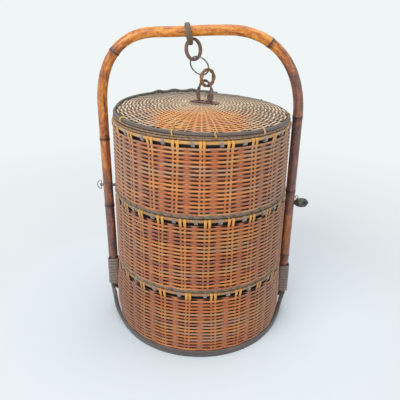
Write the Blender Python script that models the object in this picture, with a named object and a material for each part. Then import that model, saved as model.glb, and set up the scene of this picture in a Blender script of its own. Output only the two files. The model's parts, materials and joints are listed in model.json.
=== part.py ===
"""Tiered bamboo food basket: three woven tiers and a lid, carried in a bent bamboo handle.

Metres, +Z up. The origin is on the floor under the basket's axis. The handle's arch lies in
the XZ plane, and the basket's front looks along -Y.
"""
import math

import bmesh
import bpy
from mathutils import Matrix, Vector, geometry

# Clearances
seat_gap = 0.0003
lift_clearance = 0.0008
cut_overrun = 0.004

# Woven tiers, which widen from the top seam down to the belly and turn in to the foot
wall_radius = 0.137
belly_radius = 0.1382
belly_height = 0.040
foot_tuck = 0.0006
wall_thickness = 0.005
bottom_tier_height = 0.1178
middle_tier_height = 0.1213
top_tier_height = 0.1134
bottom_stakes = (22, math.radians(9.8))
middle_stakes = (25, math.radians(4.5))
top_stakes = (23, math.radians(0.9))
stake_pair_width = 0.011
stake_proud = 0.0012
stake_crown_share = 0.6
lashed_share = 0.12
rim_opening = 0.0064
floor_thickness = 0.004

# Seams, where one tier's rim carries the next
bottom_seat_height = bottom_tier_height
middle_seat_height = bottom_seat_height + middle_tier_height
top_seat_height = middle_seat_height + top_tier_height
wall_taper = (belly_radius - wall_radius) / (top_seat_height - belly_height)

# Foot hoop, the bent straps round it, and foot borders
hoop_height = 0.0122
hoop_thickness = 0.0022
strap_front_radius = 0.1390
strap_front_thickness = 0.0035
strap_front_height = 0.0116
strap_front_step = 11
hoop_outer = ((strap_front_radius - strap_front_thickness) * math.cos(math.radians(strap_front_step / 2))
              - seat_gap)
hoop_bore = hoop_outer - hoop_thickness
border_height = 0.005
border_proud = 0.0015
border_round = 0.0012

# Rim rods, with their cane bindings, and the collars that the next tier drops over
rod_radius = 0.0024
binding_proud = 0.0005
collar_thickness = 0.003
collar_rise = 0.0042
collar_depth = 0.020

# Battens under the lifted floors
batten_width = 0.012
batten_thickness = 0.0035

# Lid
skirt_height = 0.0038
lid_hoop_inset = 0.0040
lid_hoop_section = 0.005
lid_hoop_lump = 0.0003
lid_disc_thickness = 0.0024
lid_edge_drop = 0.0008
lid_dome_rise = 0.0098
lid_spokes = 38
lid_spoke_height = 0.0004
lid_hollow_depth = 0.0005
lid_top_shares = (0.08, 0.35, 0.70, 1.0)
lid_under_shares = (0.08, 0.5, 1.0)

# Bent handle: one bamboo pole, by the room beside the wall and the heights over the top seam
pole_radius = 0.0077
left_post_room = 0.0083
right_post_room = 0.0040
left_foot_inset = 0.0030
right_foot_inset = 0.0
left_shoulder_rise = 0.0135
right_shoulder_rise = 0.0025
left_crown_rise = 0.1228
right_crown_rise = 0.1272
left_bend_width = 0.0870
right_bend_width = 0.1087
post_bow_drop = 0.0825
left_bend_share = 0.64
right_bend_share = 0.60
knuckle_proud = 0.0009
knuckle_length = 0.009
knuckle_shares = (0.141, 0.246, 0.373, 0.494, 0.5945, 0.710, 0.823, 0.9325)
knuckle_profile_shares = ((-0.5, 0.0), (-0.12, 1.0), (0.04, 0.25), (0.16, 0.85), (0.5, 0.0))
left_post_x = -(wall_radius + left_post_room + pole_radius)
right_post_x = wall_radius + right_post_room + pole_radius
left_foot_x = left_post_x + left_foot_inset
right_foot_x = right_post_x - right_foot_inset
left_crown_x = left_post_x + left_bend_width
right_crown_x = right_post_x - right_bend_width

# Cane lashings, and the scarfs cut in the pole's feet for the strap's ends
lashing_turns = 9
lashing_pitch = 0.0055
lashing_width = 0.0044
lashing_depth = 0.0022
left_lashing_height = 0.0485
right_lashing_height = 0.0405
lashing_corner_room = 0.0004
lashing_square_share = 0.50
points_per_turn = 20
scarf_offset = 0.0015
pole_end_room = 0.0025
lashing_rise = lashing_turns * lashing_pitch
left_pole_end = left_lashing_height - pole_end_room
right_pole_end = right_lashing_height - pole_end_room

# Bent straps: the front and the back one hug the foot hoop, then rise to the handle's feet, where
# they lie side by side. Each station has its angle from the front in degrees, the strap's outer
# radius there, its middle height and its width.
strap_pair_width = 0.011
strap_thickness = 0.0045
strap_width = (strap_pair_width - seat_gap) / 2
strap_foot_drop = 0.004
strap_front_steps = 4
left_strap_rise = (
    (54, 0.1396, 0.0062, 0.0098), (61, 0.1412, 0.0076, 0.0086), (67, 0.1440, 0.0118, 0.0070),
    (73, 0.1470, 0.0160, 0.0062), (79, 0.1498, 0.0208, 0.0058), (84, 0.1520, 0.0265, 0.0055),
    (87, 0.1543, 0.0345, 0.0054))
right_strap_rise = (
    (54, 0.1393, 0.0060, 0.0104), (61, 0.1402, 0.0064, 0.0102), (67, 0.1416, 0.0074, 0.0088),
    (72, 0.1437, 0.0112, 0.0072), (77, 0.1456, 0.0142, 0.0064), (82, 0.1474, 0.0172, 0.0059),
    (86, 0.1503, 0.0215, 0.0056), (88, 0.1530, 0.0285, 0.0054))

# Chain: each ring by its rod, by the half width and half height of its centre line, by its
# shift in X and Y from the ring above, and by how far its top laps above that ring's bottom
bar_ring_x = -0.0208
bar_ring_room = 0.0005
bar_ring_rod = 0.0021
bar_ring_reach = (0.0144, 0.0144)
bar_ring_tilt = math.radians(-12)
upper_link_rod = 0.0022
upper_link_reach = (0.0127, 0.0148)
upper_link_shift = (0.0068, 0.0009)
upper_link_lap = 0.0070
upper_link_turn = math.radians(36.5)
upper_link_lean = math.radians(-3)
upper_link_tilt = math.radians(-9)
wire_ring_rod = 0.0011
wire_ring_reach = (0.0171, 0.0142)
wire_ring_shift = (0.0093, -0.0017)
wire_ring_lap = 0.0050
wire_ring_turn = math.radians(-38)
wire_ring_lean = math.radians(1)
wire_ring_tilt = math.radians(17.6)
lower_link_rod = 0.0023
lower_link_reach = (0.0134, 0.0121)
lower_link_shift = (0.0125, 0.0008)
lower_link_lap = 0.0078
lower_link_turn = math.radians(46)
lower_link_lean = math.radians(5)
lower_link_tilt = math.radians(-3)
lid_loop_rod = 0.0022
lid_loop_width_reach = 0.0107
lid_loop_shift = (-0.0036, -0.0006)
lid_loop_lap = 0.0081
lid_loop_room = 0.0017
lid_loop_turn = math.radians(-19)
lid_loop_lean = math.radians(2)

# Bridge strip on the lid, and the two slots for the loop on each side of its middle
slot_bar_width = 0.0038
slot_end_room = 0.0007
slot_side_room = 0.0016
bridge_end_margin = 0.0084
bridge_side_margin = 0.0027
bridge_thickness = 0.0015
slot_start = slot_bar_width / 2
slot_end = lid_loop_width_reach + lid_loop_rod + slot_end_room
slot_width = 2 * (lid_loop_rod + slot_side_room)
bridge_length = 2 * (slot_end + bridge_end_margin)
bridge_width = slot_width + 2 * bridge_side_margin

# Locking pins through the handle's posts, by their drop under the middle seam
left_pin_drop = 0.0041
left_pin_radius = 0.0022
right_pin_drop = 0.0301
right_pin_radius = 0.0025
pin_tip_gap = 0.0015
left_head_radius = 0.0028
left_head_length = 0.0055
pull_ring_height = 0.0160
pull_ring_width = 0.0080
pull_ring_wire = 0.0006
pull_ring_leg_shares = (-0.75, 0.0, 0.75)
pull_ring_bow_points = 8
bud_length = 0.0240
bud_radius = 0.0082
bud_ribs = 8
bud_rib_share = 0.08
bud_profile_shares = ((0.0, 0.49), (0.10, 0.67), (0.30, 0.94), (0.52, 1.0), (0.74, 0.91), (0.90, 0.45),
                      (1.0, 0.08))
eye_rise = 0.010
eye_radius = 0.0024
eye_wire = 0.0006
left_pin_height = middle_seat_height - left_pin_drop
right_pin_height = middle_seat_height - right_pin_drop
eye_height = right_pin_height + eye_rise

# Facets
ring_facets = 48
hidden_facets = 38
pole_facets = 12
wire_facets = 6
link_points = 20
eye_points = 8
path_points = 60
bend_stations = 18

# Finishes: colour, roughness and metallic value
CUTTER = ((0.5, 0.5, 0.5), 0.5)
WEAVE = ((0.36, 0.17, 0.07), 0.55)
DARK_CANE = ((0.16, 0.11, 0.085), 0.6)
SPLIT = ((0.42, 0.26, 0.13), 0.6)
ROD = ((0.46, 0.30, 0.15), 0.5)
POLE = ((0.62, 0.25, 0.06), 0.35)
RATTAN = ((0.24, 0.17, 0.13), 0.55)
WIRE = ((0.17, 0.18, 0.16), 0.45, 0.7)


def make_material(name, colour, roughness, metallic=0.0):
    """Give a sub-part its own plain finish."""
    material = bpy.data.materials.new(name)
    material.use_nodes = True
    shader = material.node_tree.nodes["Principled BSDF"]
    shader.inputs["Base Color"].default_value = (*colour, 1.0)
    shader.inputs["Roughness"].default_value = roughness
    shader.inputs["Metallic"].default_value = metallic
    material.diffuse_color = (*colour, 1.0)
    return material


def add_piece(name, bm, finish):
    """Turn a bmesh into a named, shaded object."""
    bmesh.ops.recalc_face_normals(bm, faces=bm.faces)
    mesh = bpy.data.meshes.new(name)
    bm.to_mesh(mesh)
    bm.free()
    mesh.shade_smooth()
    mesh.set_sharp_from_angle(angle=math.radians(35))
    piece = bpy.data.objects.new(name, mesh)
    bpy.context.scene.collection.objects.link(piece)
    piece.data.materials.append(make_material(name + "_finish", *finish))
    return piece


def move_origin(piece, place):
    """Put a moving piece's origin on its joint's axis."""
    piece.data.transform(Matrix.Translation(-Vector(place)))
    piece.location = place


def parent_to_empty(name, place, pieces):
    """Carry one moving body's pieces on an empty."""
    carrier = bpy.data.objects.new(name, None)
    carrier.location = place
    bpy.context.scene.collection.objects.link(carrier)
    for piece in pieces:
        piece.parent = carrier
        piece.matrix_parent_inverse = Matrix.Translation(-Vector(place))


def cut_with(piece, cutter):
    """Subtract a hidden cutter."""
    cutter.hide_render = True
    cutter.display_type = "WIRE"
    cut = piece.modifiers.new("cut_" + cutter.name, "BOOLEAN")
    cut.operation = "DIFFERENCE"
    cut.solver = "EXACT"
    cut.object = cutter


def box_cutter(name, low, high, turn=0.0):
    """A box between two corners, turned about Z round its own middle."""
    bm = bmesh.new()
    bmesh.ops.create_cube(bm, size=1.0)
    size = [top - base for base, top in zip(low, high)]
    middle = [(top + base) / 2 for base, top in zip(low, high)]
    bm.transform(Matrix.Translation(middle) @ Matrix.Rotation(turn, 4, "Z") @ Matrix.Diagonal((*size, 1.0)))
    return add_piece(name, bm, CUTTER)


def round_cutter(name, radius, length, place, turn):
    """A round cutter, turned from Z to lie along its hole."""
    bm = bmesh.new()
    bmesh.ops.create_cone(bm, cap_ends=True, segments=pole_facets, radius1=radius, radius2=radius,
                          depth=length)
    bm.transform(Matrix.Translation(place) @ turn)
    return add_piece(name, bm, CUTTER)


def polar(radius, angle, height):
    """A point round the basket's axis, with the angle counted from the front, towards +X."""
    return Vector((radius * math.sin(angle), -radius * math.cos(angle), height))


def skin_rings(rings, closed=False):
    """Join rings of points into one closed body."""
    bm = bmesh.new()
    loops = [[bm.verts.new(point) for point in ring] for ring in rings]
    spans = len(loops) if closed else len(loops) - 1
    for index in range(spans):
        here = loops[index]
        there = loops[(index + 1) % len(loops)]
        for corner in range(len(here)):
            after = (corner + 1) % len(here)
            bm.faces.new((here[corner], here[after], there[after], there[corner]))
    if not closed:
        bm.faces.new(loops[0])
        bm.faces.new(loops[-1])
    return bm


def wall_radius_at(height):
    """Outer radius of the woven walls at a height."""
    return wall_radius + wall_taper * (top_seat_height - max(height, belly_height))


def turned_ring(section, facets=ring_facets):
    """Turn a closed section of (radius, height) points round the basket's axis."""
    step = 2 * math.pi / facets
    return skin_rings([[polar(radius, step * turn, height) for radius, height in section]
                       for turn in range(facets)], closed=True)


def band_section(inner, outer, low, high):
    """A flat band with its upper outer edge eased."""
    return [(inner, low), (outer, low), (outer, high - border_round), (outer - border_round, high),
            (inner, high)]


def disc(radius, low, high):
    """A plain round floor."""
    bm = bmesh.new()
    bmesh.ops.create_cone(bm, cap_ends=True, segments=hidden_facets, radius1=radius, radius2=radius,
                          depth=high - low)
    bm.transform(Matrix.Translation((0, 0, (low + high) / 2)))
    return bm


def woven_wall(low, seat, stakes, tuck=0.0):
    """A tier's wall with its stake pairs standing proud, and running on up to the rim rod."""
    stake_pairs, first_angle = stakes
    weave_top = seat - 2 * rod_radius - rim_opening
    post_top = seat - 2 * rod_radius - seat_gap
    half = stake_pair_width / 2 / wall_radius
    crown = half * stake_crown_share
    outline = []
    for index in range(stake_pairs):
        middle = first_angle + index * 2 * math.pi / stake_pairs
        behind_lashing = tuck and abs(math.cos(middle)) < lashed_share
        proud = 0.0 if behind_lashing else stake_proud
        outline += [(middle - half, 0.0), (middle - crown, proud), (middle + crown, proud),
                    (middle + half, 0.0), (middle + math.pi / stake_pairs, 0.0)]
    foot = wall_radius_at(low) - tuck
    rim = wall_radius_at(weave_top)
    rings = []
    for angle, proud in outline:
        ring = [polar(foot - wall_thickness, angle, low)]
        if tuck:
            ring += [polar(foot, angle, low), polar(belly_radius + proud, angle, belly_height)]
        else:
            ring.append(polar(foot + proud, angle, low))
        ring += [polar(rim + proud, angle, weave_top), polar(rim - wall_thickness, angle, weave_top)]
        rings.append(ring)
    bm = skin_rings(rings, closed=True)
    bm.faces.ensure_lookup_table()
    spans_per_pair = len(outline) // stake_pairs
    faces_per_span = len(rings[0])
    top_face = faces_per_span - 2
    posts = []
    for pair in range(stake_pairs):
        spans = range(pair * spans_per_pair, pair * spans_per_pair + 3)
        posts.append([bm.faces[span * faces_per_span + top_face] for span in spans])
    for post in posts:
        grown = bmesh.ops.extrude_face_region(bm, geom=post)
        tops = [item for item in grown["geom"] if isinstance(item, bmesh.types.BMVert)]
        bmesh.ops.translate(bm, verts=tops, vec=(0, 0, post_top - weave_top))
        bmesh.ops.delete(bm, geom=post, context="FACES_ONLY")
    return bm


def bound_rod(seat, stakes):
    """A rim rod that swells where cane bindings cross it, once between each two stake pairs."""
    stake_pairs, first_angle = stakes
    middle = wall_radius_at(seat) - wall_thickness / 2
    rings = []
    for turn in range(3 * stake_pairs):
        angle = first_angle + (turn + 0.5) * 2 * math.pi / (3 * stake_pairs)
        swell = binding_proud if turn % 3 == 1 else 0.0
        ring = []
        for side in range(wire_facets):
            lean = side * 2 * math.pi / wire_facets
            radius = middle + rod_radius * math.cos(lean) + swell * max(math.cos(lean), 0.0)
            ring.append(polar(radius, angle, seat - rod_radius + rod_radius * math.sin(lean)))
        rings.append(ring)
    return skin_rings(rings, closed=True)


def cross_battens(top):
    """Two crossed split battens under a floor, inside the collar below."""
    reach = wall_radius_at(top) - wall_thickness - collar_thickness - 2 * lift_clearance
    half = batten_width / 2
    outline = [(reach, -half), (reach, half), (half, half), (half, reach), (-half, reach), (-half, half),
               (-reach, half), (-reach, -half), (-half, -half), (-half, -reach), (half, -reach),
               (half, -half)]
    turn = Matrix.Rotation(math.pi / 4, 4, "Z")
    return skin_rings([[turn @ Vector((x, y, height)) for x, y in outline]
                       for height in (top - batten_thickness, top)])


def collar(seat):
    """The inner collar that locates the tier or lid above."""
    outer = wall_radius_at(seat + collar_rise) - wall_thickness - seat_gap
    inner = outer - collar_thickness
    low = seat - collar_depth
    high = seat + collar_rise
    return turned_ring([(inner, low), (outer, low), (outer, high), (inner, high)], hidden_facets)


def make_tier(name, foot_low, seat, stakes):
    """One lifted tier: foot border, woven wall, floor, battens, collar and rim rod."""
    border_top = foot_low + border_height
    floor_low = foot_low + collar_rise + lift_clearance
    foot = wall_radius_at(foot_low)
    bore = wall_radius_at(floor_low + floor_thickness) - wall_thickness
    border = band_section(foot - wall_thickness + seat_gap, foot + border_proud, foot_low, border_top)
    return [
        add_piece(name + "_foot_border", turned_ring(border), DARK_CANE),
        add_piece(name + "_wall", woven_wall(border_top + seat_gap, seat, stakes), WEAVE),
        add_piece(name + "_floor", disc(bore - seat_gap, floor_low, floor_low + floor_thickness), SPLIT),
        add_piece(name + "_floor_battens", cross_battens(floor_low - seat_gap), SPLIT),
        add_piece(name + "_collar", collar(seat), SPLIT),
        add_piece(name + "_rim_rod", bound_rod(seat, stakes), ROD)]


def make_base():
    """The bottom tier, which stays in the frame: its foot hoop and floor are flush below."""
    hoop = [(hoop_bore, 0.0), (hoop_outer, 0.0), (hoop_outer, hoop_height), (hoop_bore, hoop_height)]
    add_piece("base_hoop", turned_ring(hoop), DARK_CANE)
    wall = woven_wall(hoop_height + seat_gap, bottom_seat_height, bottom_stakes, foot_tuck)
    add_piece("bottom_wall", wall, WEAVE)
    add_piece("bottom_floor", disc(hoop_bore - seat_gap, 0.0, floor_thickness), SPLIT)
    add_piece("bottom_collar", collar(bottom_seat_height), SPLIT)
    add_piece("bottom_rim_rod", bound_rod(bottom_seat_height, bottom_stakes), ROD)


def lid_hoop_height():
    """The middle of the lid's rim hoop, which rests on the skirt."""
    return top_seat_height + seat_gap + skirt_height + seat_gap + lid_hoop_section


def lid_edge_radius():
    """The woven lid ends against the inner side of its hoop."""
    return wall_radius - lid_hoop_inset - lid_hoop_section - lid_hoop_lump - seat_gap


def lid_top(radius):
    """Height of the woven lid's upper face."""
    share = radius / lid_edge_radius()
    return lid_hoop_height() + lid_hoop_section / 2 - lid_edge_drop + lid_dome_rise * (1 - share * share)


def lid_dome():
    """A shallow woven dome with its radial spokes standing proud."""
    bm = bmesh.new()
    columns = 2 * lid_spokes
    edge = lid_edge_radius()
    rims = []
    faces = ((lid_top_shares, lid_spoke_height, 0.0), (lid_under_shares, 0.0, lid_disc_thickness))
    for shares, spoke, drop in faces:
        loops = []
        for share in shares:
            height = lid_top(edge * share) - drop
            ridge = spoke if share < 1 else 0.0
            hollow = lid_hollow_depth if ridge else 0.0
            loop = [polar(edge * share, turn * 2 * math.pi / columns, height + (-hollow if turn % 2 else ridge))
                    for turn in range(columns)]
            loops.append([bm.verts.new(point) for point in loop])
        bm.faces.new(loops[0])
        for near, far in zip(loops, loops[1:]):
            for turn in range(columns):
                after = (turn + 1) % columns
                bm.faces.new((near[turn], near[after], far[after], far[turn]))
        rims.append(loops[-1])
    for turn in range(columns):
        after = (turn + 1) % columns
        bm.faces.new((rims[0][turn], rims[0][after], rims[1][after], rims[1][turn]))
    return bm


def lumpy_hoop():
    """The lid's rim hoop, a coil of cane with slight lumps."""
    rings = []
    for turn in range(ring_facets):
        radius = lid_hoop_section + (lid_hoop_lump if turn % 3 else 0.0)
        angle = turn * 2 * math.pi / ring_facets
        leans = [(side + 0.5) * 2 * math.pi / wire_facets for side in range(wire_facets)]
        rings.append([polar(wall_radius - lid_hoop_inset + radius * math.cos(lean), angle,
                            lid_hoop_height() + lid_hoop_section * math.sin(lean)) for lean in leans])
    return skin_rings(rings, closed=True)


def slot_cutters(centre):
    """Two slots in line, one each side of the bridge's middle, where the loop passes the lid."""
    turn = Matrix.Rotation(lid_loop_turn, 4, "Z")
    half_x = (slot_end - slot_start) / 2
    half_y = slot_width / 2
    low = lid_top(0.0) - lid_disc_thickness - cut_overrun
    high = lid_top(0.0) + cut_overrun
    cutters = []
    for label, side in (("left", -1), ("right", 1)):
        middle = centre + turn @ Vector((side * (slot_start + slot_end) / 2, 0, 0))
        cutters.append(box_cutter("lid_slot_" + label, (middle.x - half_x, middle.y - half_y, low),
                                  (middle.x + half_x, middle.y + half_y, high), lid_loop_turn))
    return cutters


def make_lid(centre):
    """Skirt, rim hoop, woven dome and the slotted bridge strip over its middle."""
    bore = wall_radius - wall_thickness + seat_gap
    skirt_low = top_seat_height + seat_gap
    skirt = band_section(bore, wall_radius + binding_proud, skirt_low, skirt_low + skirt_height)
    bridge_low = lid_top(0.0) + lid_spoke_height + seat_gap
    half_x = bridge_length / 2
    half_y = bridge_width / 2
    corners = ((-half_x, -half_y), (half_x, -half_y), (half_x, half_y), (-half_x, half_y))
    turn = Matrix.Rotation(lid_loop_turn, 4, "Z")
    strip = [[turn @ Vector((x, y, 0)) + Vector((centre.x, centre.y, height)) for x, y in corners]
             for height in (bridge_low, bridge_low + bridge_thickness)]
    dome = add_piece("lid_disc", lid_dome(), WEAVE)
    bridge = add_piece("lid_bridge", skin_rings(strip), SPLIT)
    for cutter in slot_cutters(centre):
        cut_with(dome, cutter)
        cut_with(bridge, cutter)
    return [add_piece("lid_skirt", turned_ring(skirt), DARK_CANE),
            add_piece("lid_rim_hoop", lumpy_hoop(), DARK_CANE), dome, bridge]


def pole_path():
    """The handle's centre line as (distance, point, tangent), sampled finely."""
    left_shoulder = top_seat_height + left_shoulder_rise
    right_shoulder = top_seat_height + right_shoulder_rise
    left_crown = top_seat_height + left_crown_rise
    right_crown = top_seat_height + right_crown_rise
    left_lift = (left_crown - left_shoulder) * left_bend_share
    right_lift = (right_crown - right_shoulder) * right_bend_share
    crown_run = (right_crown_x - left_crown_x) / 3
    crown_slope = (right_crown - left_crown) / 6
    bow = top_seat_height - post_bow_drop
    spans = (
        ((left_foot_x, left_pole_end), (left_foot_x, bow / 2), (left_post_x, bow),
         (left_post_x, left_shoulder)),
        ((left_post_x, left_shoulder), (left_post_x, left_shoulder + left_lift),
         (left_crown_x - left_bend_width * left_bend_share, left_crown - crown_slope),
         (left_crown_x, left_crown)),
        ((left_crown_x, left_crown), (left_crown_x + crown_run, left_crown + crown_slope),
         (right_crown_x - crown_run, right_crown), (right_crown_x, right_crown)),
        ((right_crown_x, right_crown), (right_crown_x + right_bend_width * right_bend_share, right_crown),
         (right_post_x, right_shoulder + right_lift), (right_post_x, right_shoulder)),
        ((right_post_x, right_shoulder), (right_post_x, bow), (right_foot_x, bow / 2),
         (right_foot_x, right_pole_end)))
    points = []
    for span in spans:
        knots = [Vector((x, 0, z)) for x, z in span]
        points += geometry.interpolate_bezier(*knots, path_points)[(1 if points else 0):]
    path = []
    distance = 0.0
    for index, point in enumerate(points):
        before = points[max(index - 1, 0)]
        after = points[min(index + 1, len(points) - 1)]
        distance += (point - before).length
        path.append((distance, point, (after - before).normalized()))
    return path


def at_distance(path, distance):
    """Point and tangent at a distance along a sampled path."""
    for here, there in zip(path, path[1:]):
        if there[0] >= distance:
            share = (distance - here[0]) / (there[0] - here[0])
            return here[1].lerp(there[1], share), here[2].lerp(there[2], share).normalized()
    return path[-1][1], path[-1][2]


def post_x_at(path, height, side):
    """Where the left (-1) or right (1) post's centre line passes a height."""
    post = [point for _, point, _ in path if point.x * side > 0]
    return min(post, key=lambda point: abs(point.z - height)).x


def bar_height_at(path, x):
    """Height of the arch's centre line over a place along X."""
    bar = [point for _, point, _ in path if point.z > top_seat_height]
    return min(bar, key=lambda point: abs(point.x - x)).z


def pole_stations(path):
    """Distances along the pole where a ring of its skin lies: knuckles, bends and ends."""
    length = path[-1][0]
    stations = {0.0: 0.0, length: 0.0}
    knuckles = [length * share for share in knuckle_shares]
    for knuckle in knuckles:
        for along, proud in knuckle_profile_shares:
            stations[knuckle + along * knuckle_length] = proud * knuckle_proud
    turned = 0.0
    for here, there in zip(path, path[1:]):
        turned += here[2].angle(there[2])
        plain = all(abs(there[0] - knuckle) > knuckle_length for knuckle in knuckles)
        if plain and turned > math.pi / bend_stations:
            stations[there[0]] = 0.0
            turned = 0.0
    return sorted(stations.items())


def make_pole(path):
    """The bent bamboo pole with knuckles, scarfed feet and two pin bores."""
    across = Vector((0, 1, 0))
    rings = []
    for distance, proud in pole_stations(path):
        point, along = at_distance(path, distance)
        outward = along.cross(across)
        turns = [side * 2 * math.pi / pole_facets for side in range(pole_facets)]
        rings.append([point + (pole_radius + proud) * (math.cos(turn) * across + math.sin(turn) * outward)
                      for turn in turns])
    pole = add_piece("handle_pole", skin_rings(rings), POLE)
    reach = pole_radius + cut_overrun
    for label, foot_x, side, end in (("left", left_foot_x, -1, left_pole_end),
                                     ("right", right_foot_x, 1, right_pole_end)):
        flat = foot_x + side * scarf_offset
        far = foot_x + side * reach
        top = end + pole_end_room + lashing_rise + lashing_width
        cut_with(pole, box_cutter("scarf_" + label, (min(flat, far), -reach, end - cut_overrun),
                                  (max(flat, far), reach, top)))
    along_x = Matrix.Rotation(math.pi / 2, 4, "Y")
    for label, side, radius, height in (("left_pin_bore", -1, left_pin_radius, left_pin_height),
                                        ("right_pin_bore", 1, right_pin_radius, right_pin_height)):
        place = (post_x_at(path, height, side), 0, height)
        cut_with(pole, round_cutter(label, radius + seat_gap, 2 * reach, place, along_x))


def strap_side(foot_x, side, end, rise):
    """Half of a front strap, from its top down and round to the front: place, outward way,
    thickness and width."""
    foot_line = foot_x + side * (scarf_offset + seat_gap + strap_thickness / 2)
    foot_y = -(strap_width + seat_gap) / 2
    outward = Vector((side, 0, 0))
    stations = [(Vector((foot_line, foot_y, height)), outward, strap_thickness, strap_width)
                for height in (end + pole_end_room + lashing_rise, end + strap_width, end - strap_foot_drop)]
    turned = strap_front_steps * strap_front_step
    for degrees, outer, height, width in reversed(rise):
        share = (degrees - turned) / (90 - turned)
        thick = strap_front_thickness + (strap_thickness - strap_front_thickness) * share
        angle = side * math.radians(degrees)
        stations.append((polar(outer - thick / 2, angle, height), polar(1.0, angle, 0.0), thick, width))
    for step in range(strap_front_steps, -1, -1):
        angle = side * math.radians(step * strap_front_step)
        stations.append((polar(strap_front_radius - strap_front_thickness / 2, angle, strap_front_height / 2),
                         polar(1.0, angle, 0.0), strap_front_thickness, strap_front_height))
    return stations


def make_straps():
    """The front strap and its twin behind: up one foot, round the foot hoop and up the other."""
    left = strap_side(left_foot_x, -1, left_pole_end, left_strap_rise)
    right = strap_side(right_foot_x, 1, right_pole_end, right_strap_rise)
    stations = left + right[-2::-1]
    rings = []
    for index, (point, outward, thick, width) in enumerate(stations):
        before = stations[max(index - 1, 0)][0]
        after = stations[min(index + 1, len(stations) - 1)][0]
        along = (after - before).normalized()
        across = along.cross(outward).normalized()
        rings.append([point + outward * thick / 2 - across * width / 2,
                      point + outward * thick / 2 + across * width / 2,
                      point - outward * thick / 2 + across * width / 2,
                      point - outward * thick / 2 - across * width / 2])
    add_piece("base_strap", skin_rings(rings), SPLIT)
    mirrored = [[Vector((point.x, -point.y, point.z)) for point in ring] for ring in rings]
    add_piece("back_strap", skin_rings(mirrored), SPLIT)


def lashing_line(foot_x, side, start):
    """Centre line of the winding round a pole's foot and the straps' ends, with straight ends."""
    clearance = seat_gap + lashing_depth / 2
    half_y = pole_radius + clearance
    depth = half_y + scarf_offset + seat_gap + strap_thickness + clearance + lashing_corner_room
    power = 2 / lashing_square_share
    corner = (1 - (strap_pair_width / 2 / half_y) ** power) ** (1 / power)
    half_x = depth / (1 + corner)
    middle = foot_x + side * (half_x - half_y)
    line = []
    for index in range(lashing_turns * points_per_turn + 1):
        turn = index / points_per_turn
        angle = 2 * math.pi * turn
        x = math.copysign(abs(math.cos(angle)) ** lashing_square_share, math.cos(angle))
        y = math.copysign(abs(math.sin(angle)) ** lashing_square_share, math.sin(angle))
        line.append(Vector((middle + half_x * x, half_y * y, start + lashing_pitch * turn)))
    head = (line[0] - line[1]).normalized() * lashing_width
    tail = (line[-1] - line[-2]).normalized() * lashing_width
    return [line[0] + head] + line + [line[-1] + tail]


def least_self_gap(line):
    """Least distance between turns, less the cane's width, measured on points."""
    distances = []
    for index, point in enumerate(line):
        distances += [(point - other).length for other in line[index + points_per_turn // 2:]]
    return min(distances) - lashing_width


def make_lashing(name, foot_x, side, start):
    """One unbroken flat cane wound up the foot."""
    line = lashing_line(foot_x, side, start)
    print(name, "least gap to itself in mm:", round(1000 * least_self_gap(line), 3))
    rings = []
    for index, point in enumerate(line):
        before = line[max(index - 1, 0)]
        after = line[min(index + 1, len(line) - 1)]
        along = (after - before).normalized()
        upward = (Vector((0, 0, 1)) - along * along.z).normalized()
        proud = along.cross(upward)
        turns = [corner * 2 * math.pi / wire_facets for corner in range(wire_facets)]
        rings.append([point + math.cos(turn) * upward * lashing_width / 2
                      + math.sin(turn) * proud * lashing_depth / 2 for turn in turns])
    add_piece(name, skin_rings(rings), DARK_CANE)


def link_body(place, reach, rod, turn, lean=0.0, tilt=0.0, points=link_points):
    """An oval ring: its centre line lies in a plane that is leaned, tilted and turned."""
    frame = (Matrix.Translation(place) @ Matrix.Rotation(turn, 4, "Z") @ Matrix.Rotation(tilt, 4, "X")
             @ Matrix.Rotation(lean, 4, "Y"))
    rings = []
    for index in range(points):
        angle = 2 * math.pi * index / points
        centre = Vector((reach[0] * math.cos(angle), 0, reach[1] * math.sin(angle)))
        outward = Vector((math.cos(angle) / reach[0], 0, math.sin(angle) / reach[1])).normalized()
        turns = [side * 2 * math.pi / wire_facets for side in range(wire_facets)]
        across = Vector((0, 1, 0))
        rings.append([frame @ (centre + rod * (math.cos(spin) * outward + math.sin(spin) * across))
                      for spin in turns])
    return skin_rings(rings, closed=True)


def half_height(reach, lean, tilt):
    """Half the height of an oval ring's leaned and tilted centre line."""
    return math.hypot(reach[0] * math.sin(lean), reach[1] * math.cos(lean)) * math.cos(tilt)


def next_ring(above, above_half, shift, lap, half):
    """Centre of a ring that hangs in the one above."""
    return above + Vector((shift[0], shift[1], lap - above_half - half))


def lap_middle(above, below, above_half, lap):
    """The middle of the place where two rings hang in each other."""
    return Vector(((above.x + below.x) / 2, (above.y + below.y) / 2, above.z - above_half + lap / 2))


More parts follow.
